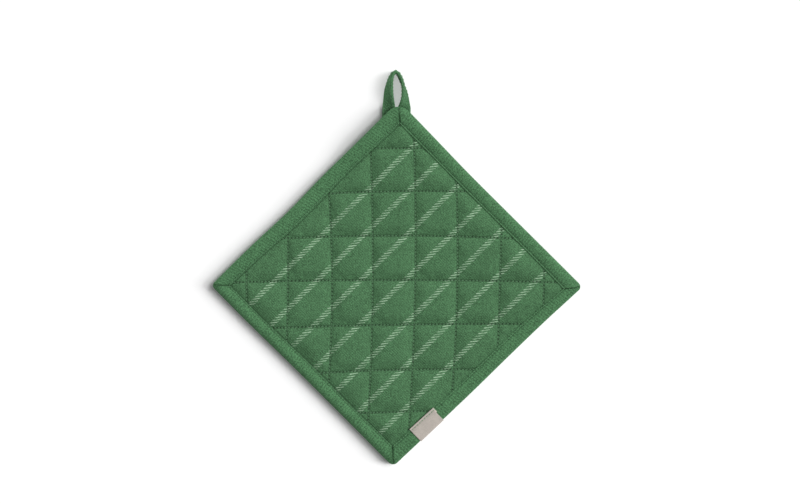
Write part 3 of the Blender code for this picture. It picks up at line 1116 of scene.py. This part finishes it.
def close_sheet(bm):
    """Copy the sheet for the underside, a step below it, and join the two round their rims."""
    rim = [edge for edge in bm.edges if edge.is_boundary]
    upper = bm.verts[:]
    copied = bmesh.ops.duplicate(bm, geom=upper + bm.edges[:] + bm.faces[:])["vert_map"]
    for vert in upper:
        copied[vert].co.z = -UNDERSIDE_STEP
    for edge in rim:
        first, second = edge.verts
        bm.faces.new((first, second, copied[second], copied[first]))


def on_seams(xy):
    """Which points lie on a quilting seam."""
    columns, rows = lattice_of(xy)
    on_upright = from_seam(columns, UPRIGHT_SEAMS) < ON_SEAM
    return on_upright | (from_seam(rows, LEVEL_SEAMS) < ON_SEAM)


def fill_with_wadding(piece, held, settings):
    """Swell the quilt between its seams with a cloth simulation, and keep the result."""
    group = piece.vertex_groups.new(name="sewn")
    group.add(np.flatnonzero(held).tolist(), 1.0, "REPLACE")
    modifier = piece.modifiers.new("wadding", "CLOTH")
    cloth = modifier.settings
    cloth.quality = 6
    cloth.mass = 0.001
    cloth.tension_stiffness = cloth.compression_stiffness = 5
    cloth.shear_stiffness = 1
    cloth.bending_stiffness = 0.01
    cloth.use_pressure = True
    cloth.uniform_pressure_force = settings.pressure
    cloth.shrink_min = -settings.spare_cloth
    cloth.vertex_group_mass = group.name
    cloth.effector_weights.gravity = 0.0
    modifier.collision_settings.use_collision = False
    modifier.point_cache.frame_end = SIMULATED_FRAMES
    for number in range(1, SIMULATED_FRAMES + 1):
        bpy.context.scene.frame_set(number)
    pick(piece)
    bpy.ops.object.modifier_apply(modifier=modifier.name)
    bpy.context.scene.frame_set(1)
    piece.vertex_groups.clear()


def crease_seams(mesh, xy):
    """Keep the edges along the seams sharp when the quilt is subdivided."""
    seam = on_seams(xy)
    columns, rows = lattice_of(xy)
    ends = np.empty(len(mesh.edges) * 2, int)
    mesh.edges.foreach_get("vertices", ends)
    first, second = ends.reshape(-1, 2).T
    same_column = np.abs(columns[first] - columns[second]) < SAME_ROW
    same_row = np.abs(rows[first] - rows[second]) < SAME_ROW
    along_seam = seam[first] & seam[second] & (same_column | same_row)
    crease = mesh.attributes.new("crease_edge", "FLOAT", "EDGE")
    crease.data.foreach_set("value", np.where(along_seam, SEAM_CREASE, 0.0).astype(np.float32))


def needle_holes(xy):
    """Depth of the dimples at the needle holes, from 0 to 1."""
    columns, rows = lattice_of(xy)
    deepest = np.zeros(len(xy))
    for count, run, seams in ((columns, rows, UPRIGHT_SEAMS), (rows, columns, LEVEL_SEAMS)):
        off_seam = from_seam(count, seams) / HOLE_REACH
        stitches = run * STITCHES_PER_CELL
        off_hole = np.abs(stitches - np.round(stitches)) * STITCH_PITCH / HOLE_REACH
        dimple = np.exp(-(off_seam**2) - off_hole**2)
        deepest = np.maximum(deepest, dimple)
    return deepest


def start_places(flat, settings):
    """The flat quilt's vertices at the heights from which the wadding swells it."""
    xy = flat[:, :2]
    slack = 1.0
    for lumps in SLACK:
        slack = slack + lumps.share * uneven(xy, lumps.scale, lumps.seed)
    filled = UNFILLED
    face, underside = quilt_heights(
        xy, settings.puff_rise * slack * filled, settings.puff_sag * slack * filled
    )
    start = flat.copy()
    start[:, 2] = np.where(flat[:, 2] > -UNDERSIDE_STEP / 2, face, underside)
    return start


def swell_quilt(piece, settings):
    flat = vertex_array(piece.data)
    xy = flat[:, :2]
    places = start_places(flat, settings)
    set_vertices(piece.data, places)
    held = on_seams(xy) | (border(xy)[0] < HELD_INSIDE)
    fill_with_wadding(piece, held, settings)
    moved = vertex_array(piece.data) - places
    size = np.linalg.norm(moved, axis=1)[:, None]
    moved *= np.minimum(1.0, PUFF_MOVE_LIMIT / np.maximum(size, 1e-9))
    places = places + moved
    places[:, 2] = np.maximum(places[:, 2], 0.0)
    set_vertices(piece.data, places)
    crease_seams(piece.data, xy)


def subdivide(piece):
    """Round the piece's faces once."""
    smooth = piece.modifiers.new("smooth", "SUBSURF")
    smooth.levels = smooth.render_levels = 1
    pick(piece)
    bpy.ops.object.modifier_apply(modifier=smooth.name)


def prick_holes(mesh, settings):
    """Press the needle holes in, move the quilt to its place and note where its seams run."""
    places = vertex_array(mesh)
    xy = places[:, :2]
    inside, _, nearest_side = border(xy)
    face, underside = quilt_heights(xy, settings.puff_rise, settings.puff_sag)
    upper = places[:, 2] > (face + underside) / 2
    dent = needle_holes(xy) * HOLE_DEPTH * smooth_step(HOLES_END, 0.0, inside)
    places[:, 2] += np.where(upper, -dent, dent)
    places[:, 2] = np.maximum(places[:, 2], 0.0)
    set_vertices(mesh, in_frame(places))
    store(mesh, "lattice", np.stack((*lattice_of(xy), np.where(upper, inside, ON_UNDERSIDE)), 1))
    # How much shade is painted under the nearest side's inner edge
    store(mesh, "lip", np.array([side.lip_shade for side in SIDES])[nearest_side])


def make_quilt(settings, material):
    """The quilt as one closed piece, with its seams, puffs, puckers and needle holes."""
    bm = bmesh.new()
    quilt_sheet(bm, settings.cell_steps)
    close_sheet(bm)
    bmesh.ops.recalc_face_normals(bm, faces=bm.faces[:])
    mesh = bpy.data.meshes.new("quilt")
    bm.to_mesh(mesh)
    bm.free()
    piece = new_piece("quilt", mesh, material)
    swell_quilt(piece, settings)
    subdivide(piece)
    prick_holes(piece.data, settings)
    piece.data.shade_smooth()
    return piece


# ------------------------------------------------------------------ the binding

# The section: its steps from point to point, its two rounded lips past the inner edge, and the heights
# between which it passes from its outer edge to its face, and from there to its back
SECTION_STEPS = 3
UPPER_LIP = Point(1.03, 0.0037)
LOWER_LIP = Point(1.03, 0.0006)
FACE_HEIGHTS = 0.0026, 0.0044
BACK_HEIGHTS = 0.0009, 0.0003

# The topstitching pulls a groove into the cloth, deeper at its holes, and the cloth ripples a little
GROOVE_WIDTH = 0.00055
PULL = 0.65
PULL_SWING = 0.45
RIPPLE_SIZE = 0.009
RIPPLE_SEED = 2.0

# The mitres: sections close together, a step from the upper layer to the lower one, and a crease
MITRE_SPACING = (0.0, 0.00012, 0.00026, 0.00045, 0.0007, 0.0011, 0.0016, 0.0022, 0.003)
MITRE_FOLD = 0.0005
MITRE_REACH = 0.0045
MITRE_DIP = 0.0008
MITRE_DIP_REACH = 0.0020
CREASE_REACH = 0.0006

# Wear lightens the crown, and painted shade darkens the mitre creases and the inner edge: where and how
# much
CROWN_ACROSS = 0.04
CROWN_WIDTH = 0.08
CROWN_OVER = 0.002
CROWN_SHADE = 0.18
CREASE_PAINTED_SHADE = 0.9
LIP_ACROSS = 0.89, 0.96


def binding_shares(side, pitch):
    """Shares of a side at which the binding has sections: close at its two mitres."""
    total = side_path_length(side)
    near = np.array(MITRE_SPACING)
    count = int((total - 2 * near[-1]) / pitch)
    middle = np.linspace(near[-1], total - near[-1], count + 1)[1:-1]
    return np.concatenate((near, middle, total - near[::-1][:-1])) / total


def mitre_height(side, share, rise):
    """How far the binding's face is raised or lowered beside its mitres, and how deep in the crease."""
    total = side_path_length(side)
    added, crease = np.zeros_like(share), np.zeros_like(share)
    for corner, distance, is_first in (
        (CORNERS[side], share * total, False),
        (CORNERS[(side + 1) % 4], (1 - share) * total, True),
    ):
        dip = MITRE_DIP * (1 - smooth_step(0.0, MITRE_DIP_REACH, distance))
        if corner.first_over == is_first:
            fade = 1 - smooth_step(0.0, MITRE_REACH, distance)
            dip = MITRE_DIP * (1 - smooth_step(0.0, MITRE_FOLD, distance))
            added = added + rise * fade * smooth_step(0.0, MITRE_FOLD, distance)
        added = added - dip
        crease = np.maximum(crease, np.exp(-((distance / CREASE_REACH) ** 2)))
    return added, crease


def binding_relief(side, share, reach, plan, section, settings):
    """How far mitres, topstitching and ripples raise the sections' points, and each one's crease."""
    across, height = section
    width = np.linalg.norm(reach, axis=1)
    from_groove = (across[None] - GROOVE_ACROSS) * width[:, None] / GROOVE_WIDTH
    stitches = round(side_path_length(side) / STITCH_PITCH)
    pull = PULL + PULL_SWING * np.cos(share * stitches * math.tau)
    groove = settings.groove_depth * np.exp(-(from_groove**2)) * pull[:, None]
    ripple = settings.ripple * uneven(plan.reshape(-1, 2), RIPPLE_SIZE, RIPPLE_SEED)
    mitre, crease = mitre_height(side, share, settings.mitre_rise)
    on_face = smooth_step(*FACE_HEIGHTS, height)[None]
    on_back = smooth_step(*BACK_HEIGHTS, height)[None]
    face_relief = mitre[:, None] - groove + ripple.reshape(plan.shape[:2])
    return on_face * face_relief + on_back * groove / 2, crease[:, None] * on_face


def binding_weave(side, reach, plan, section, crease):
    """Where the sections' points lie along and across the ribs, how much wear lightens them and how
    much painted shade darkens them.
    """
    across, height = section
    start, along, inwards, _ = side_frame(side)
    deep = (reach @ inwards).mean()
    round_edge = travelled(np.stack((across * deep, height), 1))
    forwards, outwards = np.broadcast_arrays((plan - start) @ along, round_edge[None])
    heading = math.radians(SIDES[side].ribs) - math.atan2(along[1], along[0])
    along_rib = forwards * math.cos(heading) + outwards * math.sin(heading)
    across_rib = outwards * math.cos(heading) - forwards * math.sin(heading)
    off_crown = (across - CROWN_ACROSS) / CROWN_WIDTH
    crown = CROWN_SHADE * np.exp(-(off_crown**2)) * (height > CROWN_OVER)
    # Painted shade darkens the inner edge and the mitre creases; wear lightens the crown
    lip = SIDES[side].lip_shade * smooth_step(*LIP_ACROSS, across) * smooth_step(*FACE_HEIGHTS, height)
    return np.stack((along_rib, across_rib, crown[None] - CREASE_PAINTED_SHADE * crease - lip[None]), 2)


def make_binding(settings, material):
    """The binding: one folded cloth carried round the four sides, mitred at the corners."""
    section = closed_curve((UPPER_LIP, *FOLD_OUTER, LOWER_LIP, *FOLD_INNER), SECTION_STEPS).T
    across, height = section
    sections, weaves = [], []
    for side in range(4):
        share = binding_shares(side, settings.station_pitch)[:-1]
        outer = outer_point(side, share)
        reach = inner_point(side, share) - outer
        plan = outer[:, None] + reach[:, None] * across[None, :, None]
        relief, crease = binding_relief(side, share, reach, plan, section, settings)
        raised = lift(plan.reshape(-1, 2)).reshape(plan.shape[:2])
        tall = np.maximum(height[None] + raised + relief, 0.0)
        sections.append(np.concatenate((plan, tall[:, :, None]), 2))
        weaves.append(binding_weave(side, reach, plan, section, crease))
    return loft("binding_cloth", np.concatenate(sections), np.concatenate(weaves), material, True)


# ------------------------------------------------------------------ the loop and the label

# The strip's two edges are worn pale, from that share of its width outwards
FOLD_WEAR = 0.14
WORN_FROM = 0.45

# The folded strip's section, and the steps by which the loop's length is measured
LAYER_GAP = 0.00012
LAYER_POINTS = 14
FOLD_POINTS = 7
ROUGH_POINTS = 400


def doubled_section(width, thickness):
    """Section of a strip folded in two: its fold at +width / 2, its open edges at -width / 2."""
    layer = (thickness - LAYER_GAP) / 2
    middle = (layer + LAYER_GAP) / 2
    open_end = width / 2 - layer / 2
    fold_centre = -width / 2 + layer / 2 + middle
    wide = np.linspace(open_end, fold_centre, LAYER_POINTS)
    turn = np.linspace(0, math.pi, FOLD_POINTS + 2)[1:-1]
    upper = np.stack((wide, np.full(LAYER_POINTS, middle)), 1)
    fold = np.stack((fold_centre - middle * np.sin(turn), middle * np.cos(turn)), 1)
    lower = upper[::-1] * (1, -1)
    return cloth_outline(np.concatenate((upper, fold, lower)), layer) * (-1, 1)


def loop_frames(pitch):
    """The loop's middle line and directions at even steps, and its section there, on the table."""
    xs, ys, tilts, thicknesses = zip(*LOOP_ROWS)
    rough = np.linspace(0, 1, ROUGH_POINTS)
    length = travelled(np.stack((curve_at(xs, rough), curve_at(ys, rough)), 1))
    count = int(length[-1] / pitch)
    share = np.interp(np.linspace(0, length[-1], count + 1), length, rough)
    middle = np.stack((curve_at(xs, share), curve_at(ys, share), np.zeros(count + 1)), 1)
    ahead = np.gradient(middle, axis=0)
    ahead /= np.linalg.norm(ahead, axis=1)[:, None]
    sideways = np.stack((-ahead[:, 1], ahead[:, 0], np.zeros(count + 1)), 1)
    tilt = np.radians(np.minimum(curve_at(tilts, share), FLAT_TILT))[:, None]
    outwards = sideways * np.cos(tilt) + np.array((0.0, 0.0, 1.0)) * np.sin(tilt)
    across = np.cross(ahead, outwards)
    wide, thick = doubled_section(STRIP_WIDTH, FREE_THICKNESS).T
    thinner = curve_at(thicknesses, share) / FREE_THICKNESS
    section = (
        across[:, None] * wide[None, :, None]
        + outwards[:, None] * (thick[None] * thinner[:, None])[:, :, None]
    )
    middle[:, 2] = -section[:, :, 2].min(1)
    return middle, ahead, across, outwards * (thinner * FREE_THICKNESS / 2)[:, None], section


def make_loop(settings, material):
    """The hanging loop: a strip folded in two that turns onto its edge at the top."""
    middle, _, _, _, section = loop_frames(settings.loop_pitch)
    wide, thick = doubled_section(STRIP_WIDTH, FREE_THICKNESS).T
    run, round_it = travelled(middle[:, :2]), travelled(np.stack((wide, thick), 1))
    forwards, outline = np.broadcast_arrays(run[:, None], round_it[None])
    diagonal = math.sqrt(0.5)
    wear_and_painted_shade = FOLD_WEAR * (np.abs(wide) > WORN_FROM * STRIP_WIDTH)
    wear_and_painted_shade = np.broadcast_to(wear_and_painted_shade[None], forwards.shape)
    weave = np.stack(((forwards + outline) * diagonal, (outline - forwards) * diagonal, wear_and_painted_shade), 2)
    return loft("loop_cloth", middle[:, None] + section, weave, material, False)


# The label's sections and points, and its end that is turned in under the face: how long it is, over
# what length the tape comes down from it, and how far it slips out at one end of the label
LABEL_STATIONS = 54
FINE_POINTS = 90
TAPE_POINTS = 72
TAPE_FLAP = 0.0042
TAPE_STEP = 0.0012
TAPE_EDGE = 0.0006
FLAP_SHIFT = 0.0009
FLAP_SHIFT_REACH = 0.007


def tape_line(width, tape):
    """Centre line of the label's section, from its turned-in flap over its face and fold to its back,
    and how much each of its points belongs to the flap."""
    outer = np.array(FOLD_OUTER) * (width, 1.0)
    share = np.linspace(0, 1, FINE_POINTS)
    fine = np.stack([curve_at(outer[:, axis], share) for axis in (0, 1)], 1)
    run = travelled(fine)
    even = np.linspace(0, run[-1], TAPE_POINTS)
    base = np.stack([np.interp(even, run, fine[:, axis]) for axis in (0, 1)], 1)
    ahead = np.gradient(base, axis=0)
    ahead /= np.linalg.norm(ahead, axis=1)[:, None]
    square = np.stack((ahead[:, 1], -ahead[:, 0]), 1)
    low = CLEARANCE + tape / 2
    high = low + tape
    raised = high - (high - low) * smooth_step(TAPE_FLAP, TAPE_FLAP + TAPE_STEP, even)
    flap = (base + square * low)[even < TAPE_FLAP][::-1]
    bend = base[0] + square[0] * (low + high) / 2 - ahead[0] * tape / 2
    turned_in = np.concatenate((np.ones(len(flap) + 1), np.exp(-((even / TAPE_EDGE) ** 2))))
    return np.concatenate((flap, bend[None], base + square * raised[:, None])), turned_in


def make_label(settings, material):
    """The label: a pale tape folded over the binding, its face's end turned in and sewn down."""
    tape = settings.tape_thickness
    _, along, inwards, length = side_frame(LABEL_SIDE)
    far_end = length - LABEL_START
    sections, weaves = [], []
    for distance in np.linspace(0, LABEL_LENGTH, LABEL_STATIONS):
        share = np.array(((far_end - distance) / length,))
        edge = outer_point(LABEL_SIDE, share)[0]
        width = (inner_point(LABEL_SIDE, share)[0] - edge) @ inwards
        line, turned_in = tape_line(width, tape)
        outline, flap = cloth_outline(line, tape), around_outline(turned_in)
        shift = FLAP_SHIFT * smooth_step(LABEL_LENGTH - FLAP_SHIFT_REACH, LABEL_LENGTH, distance)
        plan = edge + outline[:, :1] * inwards - flap[:, None] * shift * along
        sections.append(np.concatenate((plan, outline[:, 1:] + LABEL_LIFT), 1))
        weaves.append(np.stack((np.full(len(outline), distance), travelled(outline), flap), 1))
    return loft("label_tape", np.array(sections), np.array(weaves), material, False)


# ------------------------------------------------------------------ the stitches

# One stitch: its mesh, the gap in a needle hole between two, how deep its ends sink and how far its
# middle stands out, and how thin its ends are
THREAD_SIDES = 6
STITCH_RINGS = 7
HOLE_GAP = 0.00035
THREAD_SUNK = 0.00045
THREAD_PROUD = 0.00016
END_THICKNESS = 0.72

# Where stitches are laid: how far one may dip under the table's level, where along it the cloth's
# height is read and from how far, where a quilting row ends and how far inside the loop's edge they lie
THREAD_BELOW = 0.0001
READ_AT = 0.2, 0.5, 0.8
READ_FROM = 0.1
ROW_END = -0.0015
LOOP_STITCH_INSIDE = 0.0013

# How unevenly they are sewn
SEED = 7
SLANT_SPREAD = 0.5
WIDTH_SPREAD = 0.05
HEIGHT_SPREAD = 0.06


def model_stitch(width):
    """One stitch along X, as by hand: a disc drawn out ring by ring over a low arch."""
    pitch = STITCH_PITCH - HOLE_GAP
    rings = np.linspace(0, 1, STITCH_RINGS)
    arch = THREAD_PROUD + width / 4 - (THREAD_SUNK + THREAD_PROUD) * np.abs(2 * rings - 1) ** 4
    bpy.ops.object.select_all(action="DESELECT")
    bpy.ops.mesh.primitive_circle_add(
        vertices=THREAD_SIDES,
        radius=width / 2 * END_THICKNESS,
        fill_type="NGON",
        location=(-pitch / 2, 0, arch[0]),
        rotation=(0, math.pi / 2, 0),
    )
    stitch = bpy.context.active_object
    bpy.ops.object.transform_apply(location=True, rotation=True, scale=True)
    bpy.ops.object.mode_set(mode="EDIT")
    bpy.ops.mesh.select_all(action="SELECT")
    thickness = END_THICKNESS + (1 - END_THICKNESS) * np.sin(math.pi * rings)
    for ring in range(1, STITCH_RINGS):
        step = (rings[ring] - rings[ring - 1]) * pitch
        bpy.ops.mesh.extrude_region_move(
            TRANSFORM_OT_translate={"value": (step, 0, arch[ring] - arch[ring - 1])}
        )
        grown = thickness[ring] / thickness[ring - 1]
        bpy.ops.transform.resize(value=(1, grown, grown))
    bpy.ops.mesh.select_all(action="SELECT")
    bpy.ops.mesh.normals_make_consistent(inside=False)
    bpy.ops.object.mode_set(mode="OBJECT")
    return stitch


def surface_height(trees, xy, from_above):
    """Height of the highest cloth seen from above, or of the lowest seen from below."""
    x, y = xy + QUILT_MIDDLE
    way = -1.0 if from_above else 1.0
    start = Vector((x, y, -way * READ_FROM))
    hits = [tree.ray_cast(start, Vector((0, 0, way)))[0] for tree in trees]
    heights = [hit.z for hit in hits if hit is not None]
    if not heights:
        return None
    return max(heights) if from_above else min(heights)


def seats_on_cloth(rows, trees, from_above):
    """Where the stitches of the rows lie on the cloth: each one's middle, run and facing."""
    facing = (0.0, 0.0, 1.0 if from_above else -1.0)
    seats = []
    for row in rows:
        for start, end in zip(row[:-1], row[1:]):
            run = end - start
            heights = [surface_height(trees, start + run * part, from_above) for part in READ_AT]
            if None not in heights:
                low, middle_height, high = heights
                climb = (high - low) / (READ_AT[2] - READ_AT[0])
                middle = start + run / 2 + QUILT_MIDDLE
                seats.append(((*middle, middle_height), (*run, climb), facing))
    return seats


def seats_on_loop():
    """Where the stitches lie along both edges of the loop's strip, on both its faces."""
    middle, ahead, across, outwards, _ = loop_frames(STITCH_PITCH)
    seats = []
    for edge in (1, -1):
        line = in_frame(middle + across * edge * (STRIP_WIDTH / 2 - LOOP_STITCH_INSIDE))
        for way in (1, -1):
            facing = outwards * way
            seats += list(zip(line + facing, ahead * STITCH_PITCH, facing))
    return seats


def sew(name, stitch, seats, material, slant):
    """Copies of the stitch as one piece, each laid in its seat and turned a little from its run."""
    rng = np.random.default_rng(SEED)
    pattern = vertex_array(stitch.data)
    polygons = [list(polygon.vertices) for polygon in stitch.data.polygons]
    weave = np.stack((pattern[:, 1] + pattern[:, 2], pattern[:, 0], pattern[:, 0] * 0), 1)
    copies, faces = [], []
    for middle, run, facing in seats:
        length = np.linalg.norm(run)
        ahead = np.array(run) / length
        side = np.cross(facing, ahead)
        side /= np.linalg.norm(side)
        outwards = np.cross(ahead, side)
        turn = slant + rng.normal(0, slant * SLANT_SPREAD)
        turned = ahead * math.cos(turn) + side * math.sin(turn)
        wider, taller = 1 + rng.normal(0, WIDTH_SPREAD), 1 + rng.normal(0, HEIGHT_SPREAD)
        body = pattern * (length / STITCH_PITCH, wider, taller)
        axes = np.array((turned, np.cross(outwards, turned), outwards))
        placed = np.array(middle) + body @ axes
        placed[:, 2] = np.maximum(placed[:, 2], -THREAD_BELOW)
        offset = len(copies) * len(pattern)
        faces += [[place + offset for place in polygon] for polygon in polygons]
        copies.append(placed)
    weave = np.tile(weave, (len(copies), 1))
    return woven_piece(name, np.concatenate(copies), faces, weave, material)


def quilting_rows():
    """The needle holes of every quilting seam that shows, row by row."""
    rows = []
    for seams, others, upright in (
        (UPRIGHT_SEAMS, LEVEL_SEAMS, True),
        (LEVEL_SEAMS, UPRIGHT_SEAMS, False),
    ):
        run = np.arange((len(others) + 1) * STITCHES_PER_CELL + 1) / STITCHES_PER_CELL
        for number in range(1, len(seams) + 1):
            held = np.full(len(run), float(number))
            row = lattice_place(held, run) if upright else lattice_place(run, held)
            rows.append(row[border(row)[0] > ROW_END])
    return rows


def topstitch_rows():
    """The needle holes along the binding's inner edge, side by side."""
    rows = []
    for side in range(4):
        count = round(side_path_length(side) / STITCH_PITCH)
        rows.append(across_binding(side, np.linspace(0, 1, count + 1), TOPSTITCH_ACROSS))
    return rows


# ------------------------------------------------------------------ operators


# The lowest light's shadow on the table is that of the square alone, without the loop
SQUARE_NODES = "pad", "binding", "label"


def gather(group, *pieces):
    """Add pieces to a group that lights can be told to light or be shaded by."""
    gathered = bpy.data.collections.get(group) or bpy.data.collections.new(group)
    for piece in pieces:
        gathered.objects.link(piece)
    return gathered


def settle(piece, node):
    """Let a finished piece ride on the pot holder, stand for its solid and join the groups that the
    lights read.
    """
    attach(piece, "root")
    if node:
        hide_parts(node)
    gather("pot_holder", piece)
    if node in SQUARE_NODES:
        gather("square", piece)


class POTHOLDER_OT_quilt(bpy.types.Operator):
    """Make the quilt, filled between its seams"""

    bl_idname = "pot_holder.quilt"
    bl_label = "Quilt"

    def execute(self, context):
        sewn = context.scene.pot_holder
        quilt = make_quilt(sewn.quilt, quilt_finish(sewn.colours))
        settle(quilt, "pad")
        return {"FINISHED"}


class POTHOLDER_OT_binding(bpy.types.Operator):
    """Fold the binding over the quilt's four edges"""

    bl_idname = "pot_holder.binding"
    bl_label = "Binding"

    def execute(self, context):
        sewn = context.scene.pot_holder
        material = binding_finish("binding_twill", sewn.colours.binding, RIB_PITCH)
        binding = make_binding(sewn.binding, material)
        settle(binding, "binding")
        return {"FINISHED"}


class POTHOLDER_OT_loop(bpy.types.Operator):
    """Fold the hanging loop and lay its legs behind the top corner"""

    bl_idname = "pot_holder.loop"
    bl_label = "Loop"

    def execute(self, context):
        sewn = context.scene.pot_holder
        colour = shade(sewn.colours.binding, LOOP_SHADE)
        material = binding_finish("loop_twill", colour, LOOP_RIB_PITCH)
        loop = make_loop(sewn.strips, material)
        settle(loop, "loop")
        return {"FINISHED"}


class POTHOLDER_OT_label(bpy.types.Operator):
    """Fold the label over the binding"""

    bl_idname = "pot_holder.label"
    bl_label = "Label"

    def execute(self, context):
        sewn = context.scene.pot_holder
        label = make_label(sewn.strips, tape_finish(sewn.colours.tape))
        settle(label, "label")
        return {"FINISHED"}


class POTHOLDER_OT_stitches(bpy.types.Operator):
    """Sew the quilting and the topstitching, on the face and on the underside"""

    bl_idname = "pot_holder.stitches"
    bl_label = "Stitches"

    def execute(self, context):
        sewn = context.scene.pot_holder
        thread = thread_finish(sewn.colours.thread)
        stitch = model_stitch(sewn.threads.thread_width)
        depsgraph = context.evaluated_depsgraph_get()
        quilt, binding, label = (
            BVHTree.FromObject(bpy.data.objects[name], depsgraph)
            for name in ("quilt", "binding_cloth", "label_tape")
        )
        work = {"loop_stitches": (seats_on_loop(), "loop_cloth")}
        for face, from_above in (("face", True), ("back", False)):
            quilting = seats_on_cloth(quilting_rows(), [quilt], from_above)
            topstitching = seats_on_cloth(topstitch_rows(), [binding, label], from_above)
            work[f"quilting_stitches_{face}"] = (quilting, "quilt_cloth")
            work[f"binding_stitches_{face}"] = (topstitching, "binding_cloth")
        for name, (seats, slot) in work.items():
            settle(sew(name, stitch, seats, thread, sewn.threads.slant), None)
        bpy.data.objects.remove(stitch)
        return {"FINISHED"}


# ------------------------------------------------------------------ the stage

# The studio's soft lights, each as large in the sky as LIGHT_WIDTH: the turn about Z and the height, in
# degrees, that it comes from, the share of full light that it gives a level sheet, what it lights and
# what throws its shadow
Light = namedtuple("Light", "name turn height share lights shaded_by")
LIGHT_WIDTH = math.radians(26)
LIGHTS = (
    Light("cloth_key", 0, 40, 0.61, "pot_holder", None),
    Light("cloth_side", 120, 25, 0.25, "pot_holder", None),
    Light("table_high", 5, 44, 0.18, "table", "pot_holder"),
    Light("table_middle", 12, 28, 0.17, "table", "pot_holder"),
    Light("table_low", -3, 16.5, 0.41, "table", "square"),
    Light("table_side", 40, 26, 0.12, "table", "pot_holder"),
)
TABLE_SIZE = 6.0
TABLE_DROP = 0.0002
SENSOR_WIDTH = 36.0
PICTURE_MIDDLE = Vector((0.0029, 0.0134, 0.003))


def hang_light(light, strength):
    """A soft light from far away on the things it is meant for."""
    sun = bpy.data.lights.new(light.name, "SUN")
    sun.angle = LIGHT_WIDTH
    turn, height = math.radians(light.turn), math.radians(light.height)
    sun.energy = strength * light.share * math.pi / math.sin(height)
    level = math.cos(height)
    way = Vector((math.cos(turn) * level, math.sin(turn) * level, math.sin(height)))
    holder = bpy.data.objects.new(light.name, sun)
    holder.location = way
    holder.rotation_euler = way.to_track_quat("Z", "Y").to_euler()
    holder.light_linking.receiver_collection = gather(light.lights)
    if light.shaded_by:
        holder.light_linking.blocker_collection = gather(light.shaded_by)
    bpy.context.scene.collection.objects.link(holder)


class POTHOLDER_OT_stage(bpy.types.Operator):
    """Set out the table, the lights and the camera"""

    bl_idname = "pot_holder.stage"
    bl_label = "Stage"

    def execute(self, context):
        settings = context.scene.pot_holder.stage
        bpy.ops.object.select_all(action="DESELECT")
        bpy.ops.mesh.primitive_plane_add(size=TABLE_SIZE, location=(0, 0, -TABLE_DROP))
        table = context.active_object
        table.name = "table"
        bpy.ops.object.transform_apply(location=True)
        sockets = {"Base Color": shade(settings.table), "Roughness": 0.9, "Specular IOR Level": 0.0}
        table.data.materials.append(Finish("table_paper").surface(sockets))
        gather("table", table)

        for light in LIGHTS:
            strength = settings.table_light if light.lights == "table" else settings.cloth_light
            hang_light(light, strength)
        world = bpy.data.worlds.new("room")
        world.use_nodes = True
        background = world.node_tree.nodes["Background"].inputs
        background["Color"].default_value = (1.0, 1.0, 1.0, 1.0)
        background["Strength"].default_value = settings.room_light
        context.scene.world = world

        camera = bpy.data.cameras.new("camera")
        camera.sensor_width = SENSOR_WIDTH
        camera.lens = settings.lens
        camera.dof.use_dof = False
        eye = bpy.data.objects.new("camera", camera)
        distance = settings.frame_width * settings.lens / SENSOR_WIDTH
        eye.location = PICTURE_MIDDLE + Vector((0.0, 0.0, distance))
        context.scene.collection.objects.link(eye)
        context.scene.camera = eye
        context.scene.view_settings.view_transform = "Standard"
        return {"FINISHED"}


class PotHolderSettings(bpy.types.PropertyGroup):
    """All that can be changed about the pot holder"""

    quilt: PointerProperty(name="Quilt", description="Filling of the quilt", type=QuiltSettings)
    binding: PointerProperty(name="Binding", description="Forms of the binding", type=BindingSettings)
    strips: PointerProperty(name="Strips", description="Loop and label", type=StripSettings)
    threads: PointerProperty(name="Thread", description="Sewing thread", type=ThreadSettings)
    colours: PointerProperty(name="Colours", description="Colours", type=ColourSettings)
    stage: PointerProperty(name="Stage", description="Camera and light", type=StageSettings)


class POTHOLDER_PT_panel(bpy.types.Panel):
    """Sizes and colours of the pot holder, and a button for each of its pieces"""

    bl_idname = "POTHOLDER_PT_panel"
    bl_label = "Pot Holder"
    bl_space_type = "VIEW_3D"
    bl_region_type = "UI"
    bl_category = "Pot Holder"

    def draw(self, context):
        sewn = context.scene.pot_holder
        for part in ("quilt", "binding", "strips", "threads", "colours", "stage"):
            box = self.layout.box()
            box.label(text=part.capitalize())
            group = getattr(sewn, part)
            for name in group.__annotations__:
                box.prop(group, name)
        for operator in OPERATORS:
            self.layout.operator(operator.bl_idname)


GROUPS = (
    QuiltSettings,
    BindingSettings,
    StripSettings,
    ThreadSettings,
    ColourSettings,
    StageSettings,
    PotHolderSettings,
)
OPERATORS = (
    POTHOLDER_OT_stage,
    POTHOLDER_OT_quilt,
    POTHOLDER_OT_binding,
    POTHOLDER_OT_loop,
    POTHOLDER_OT_label,
    POTHOLDER_OT_stitches,
)


def register():
    for kind in (*GROUPS, *OPERATORS, POTHOLDER_PT_panel):
        bpy.utils.register_class(kind)
    bpy.types.Scene.pot_holder = PointerProperty(type=PotHolderSettings)


def unregister():
    del bpy.types.Scene.pot_holder
    for kind in reversed((*GROUPS, *OPERATORS, POTHOLDER_PT_panel)):
        bpy.utils.unregister_class(kind)


def main():
    """Register the classes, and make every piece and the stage."""
    register()
    bpy.ops.pot_holder.stage()
    bpy.ops.pot_holder.quilt()
    bpy.ops.pot_holder.binding()
    bpy.ops.pot_holder.loop()
    bpy.ops.pot_holder.label()
    bpy.ops.pot_holder.stitches()


if __name__ == "__main__":
    main()
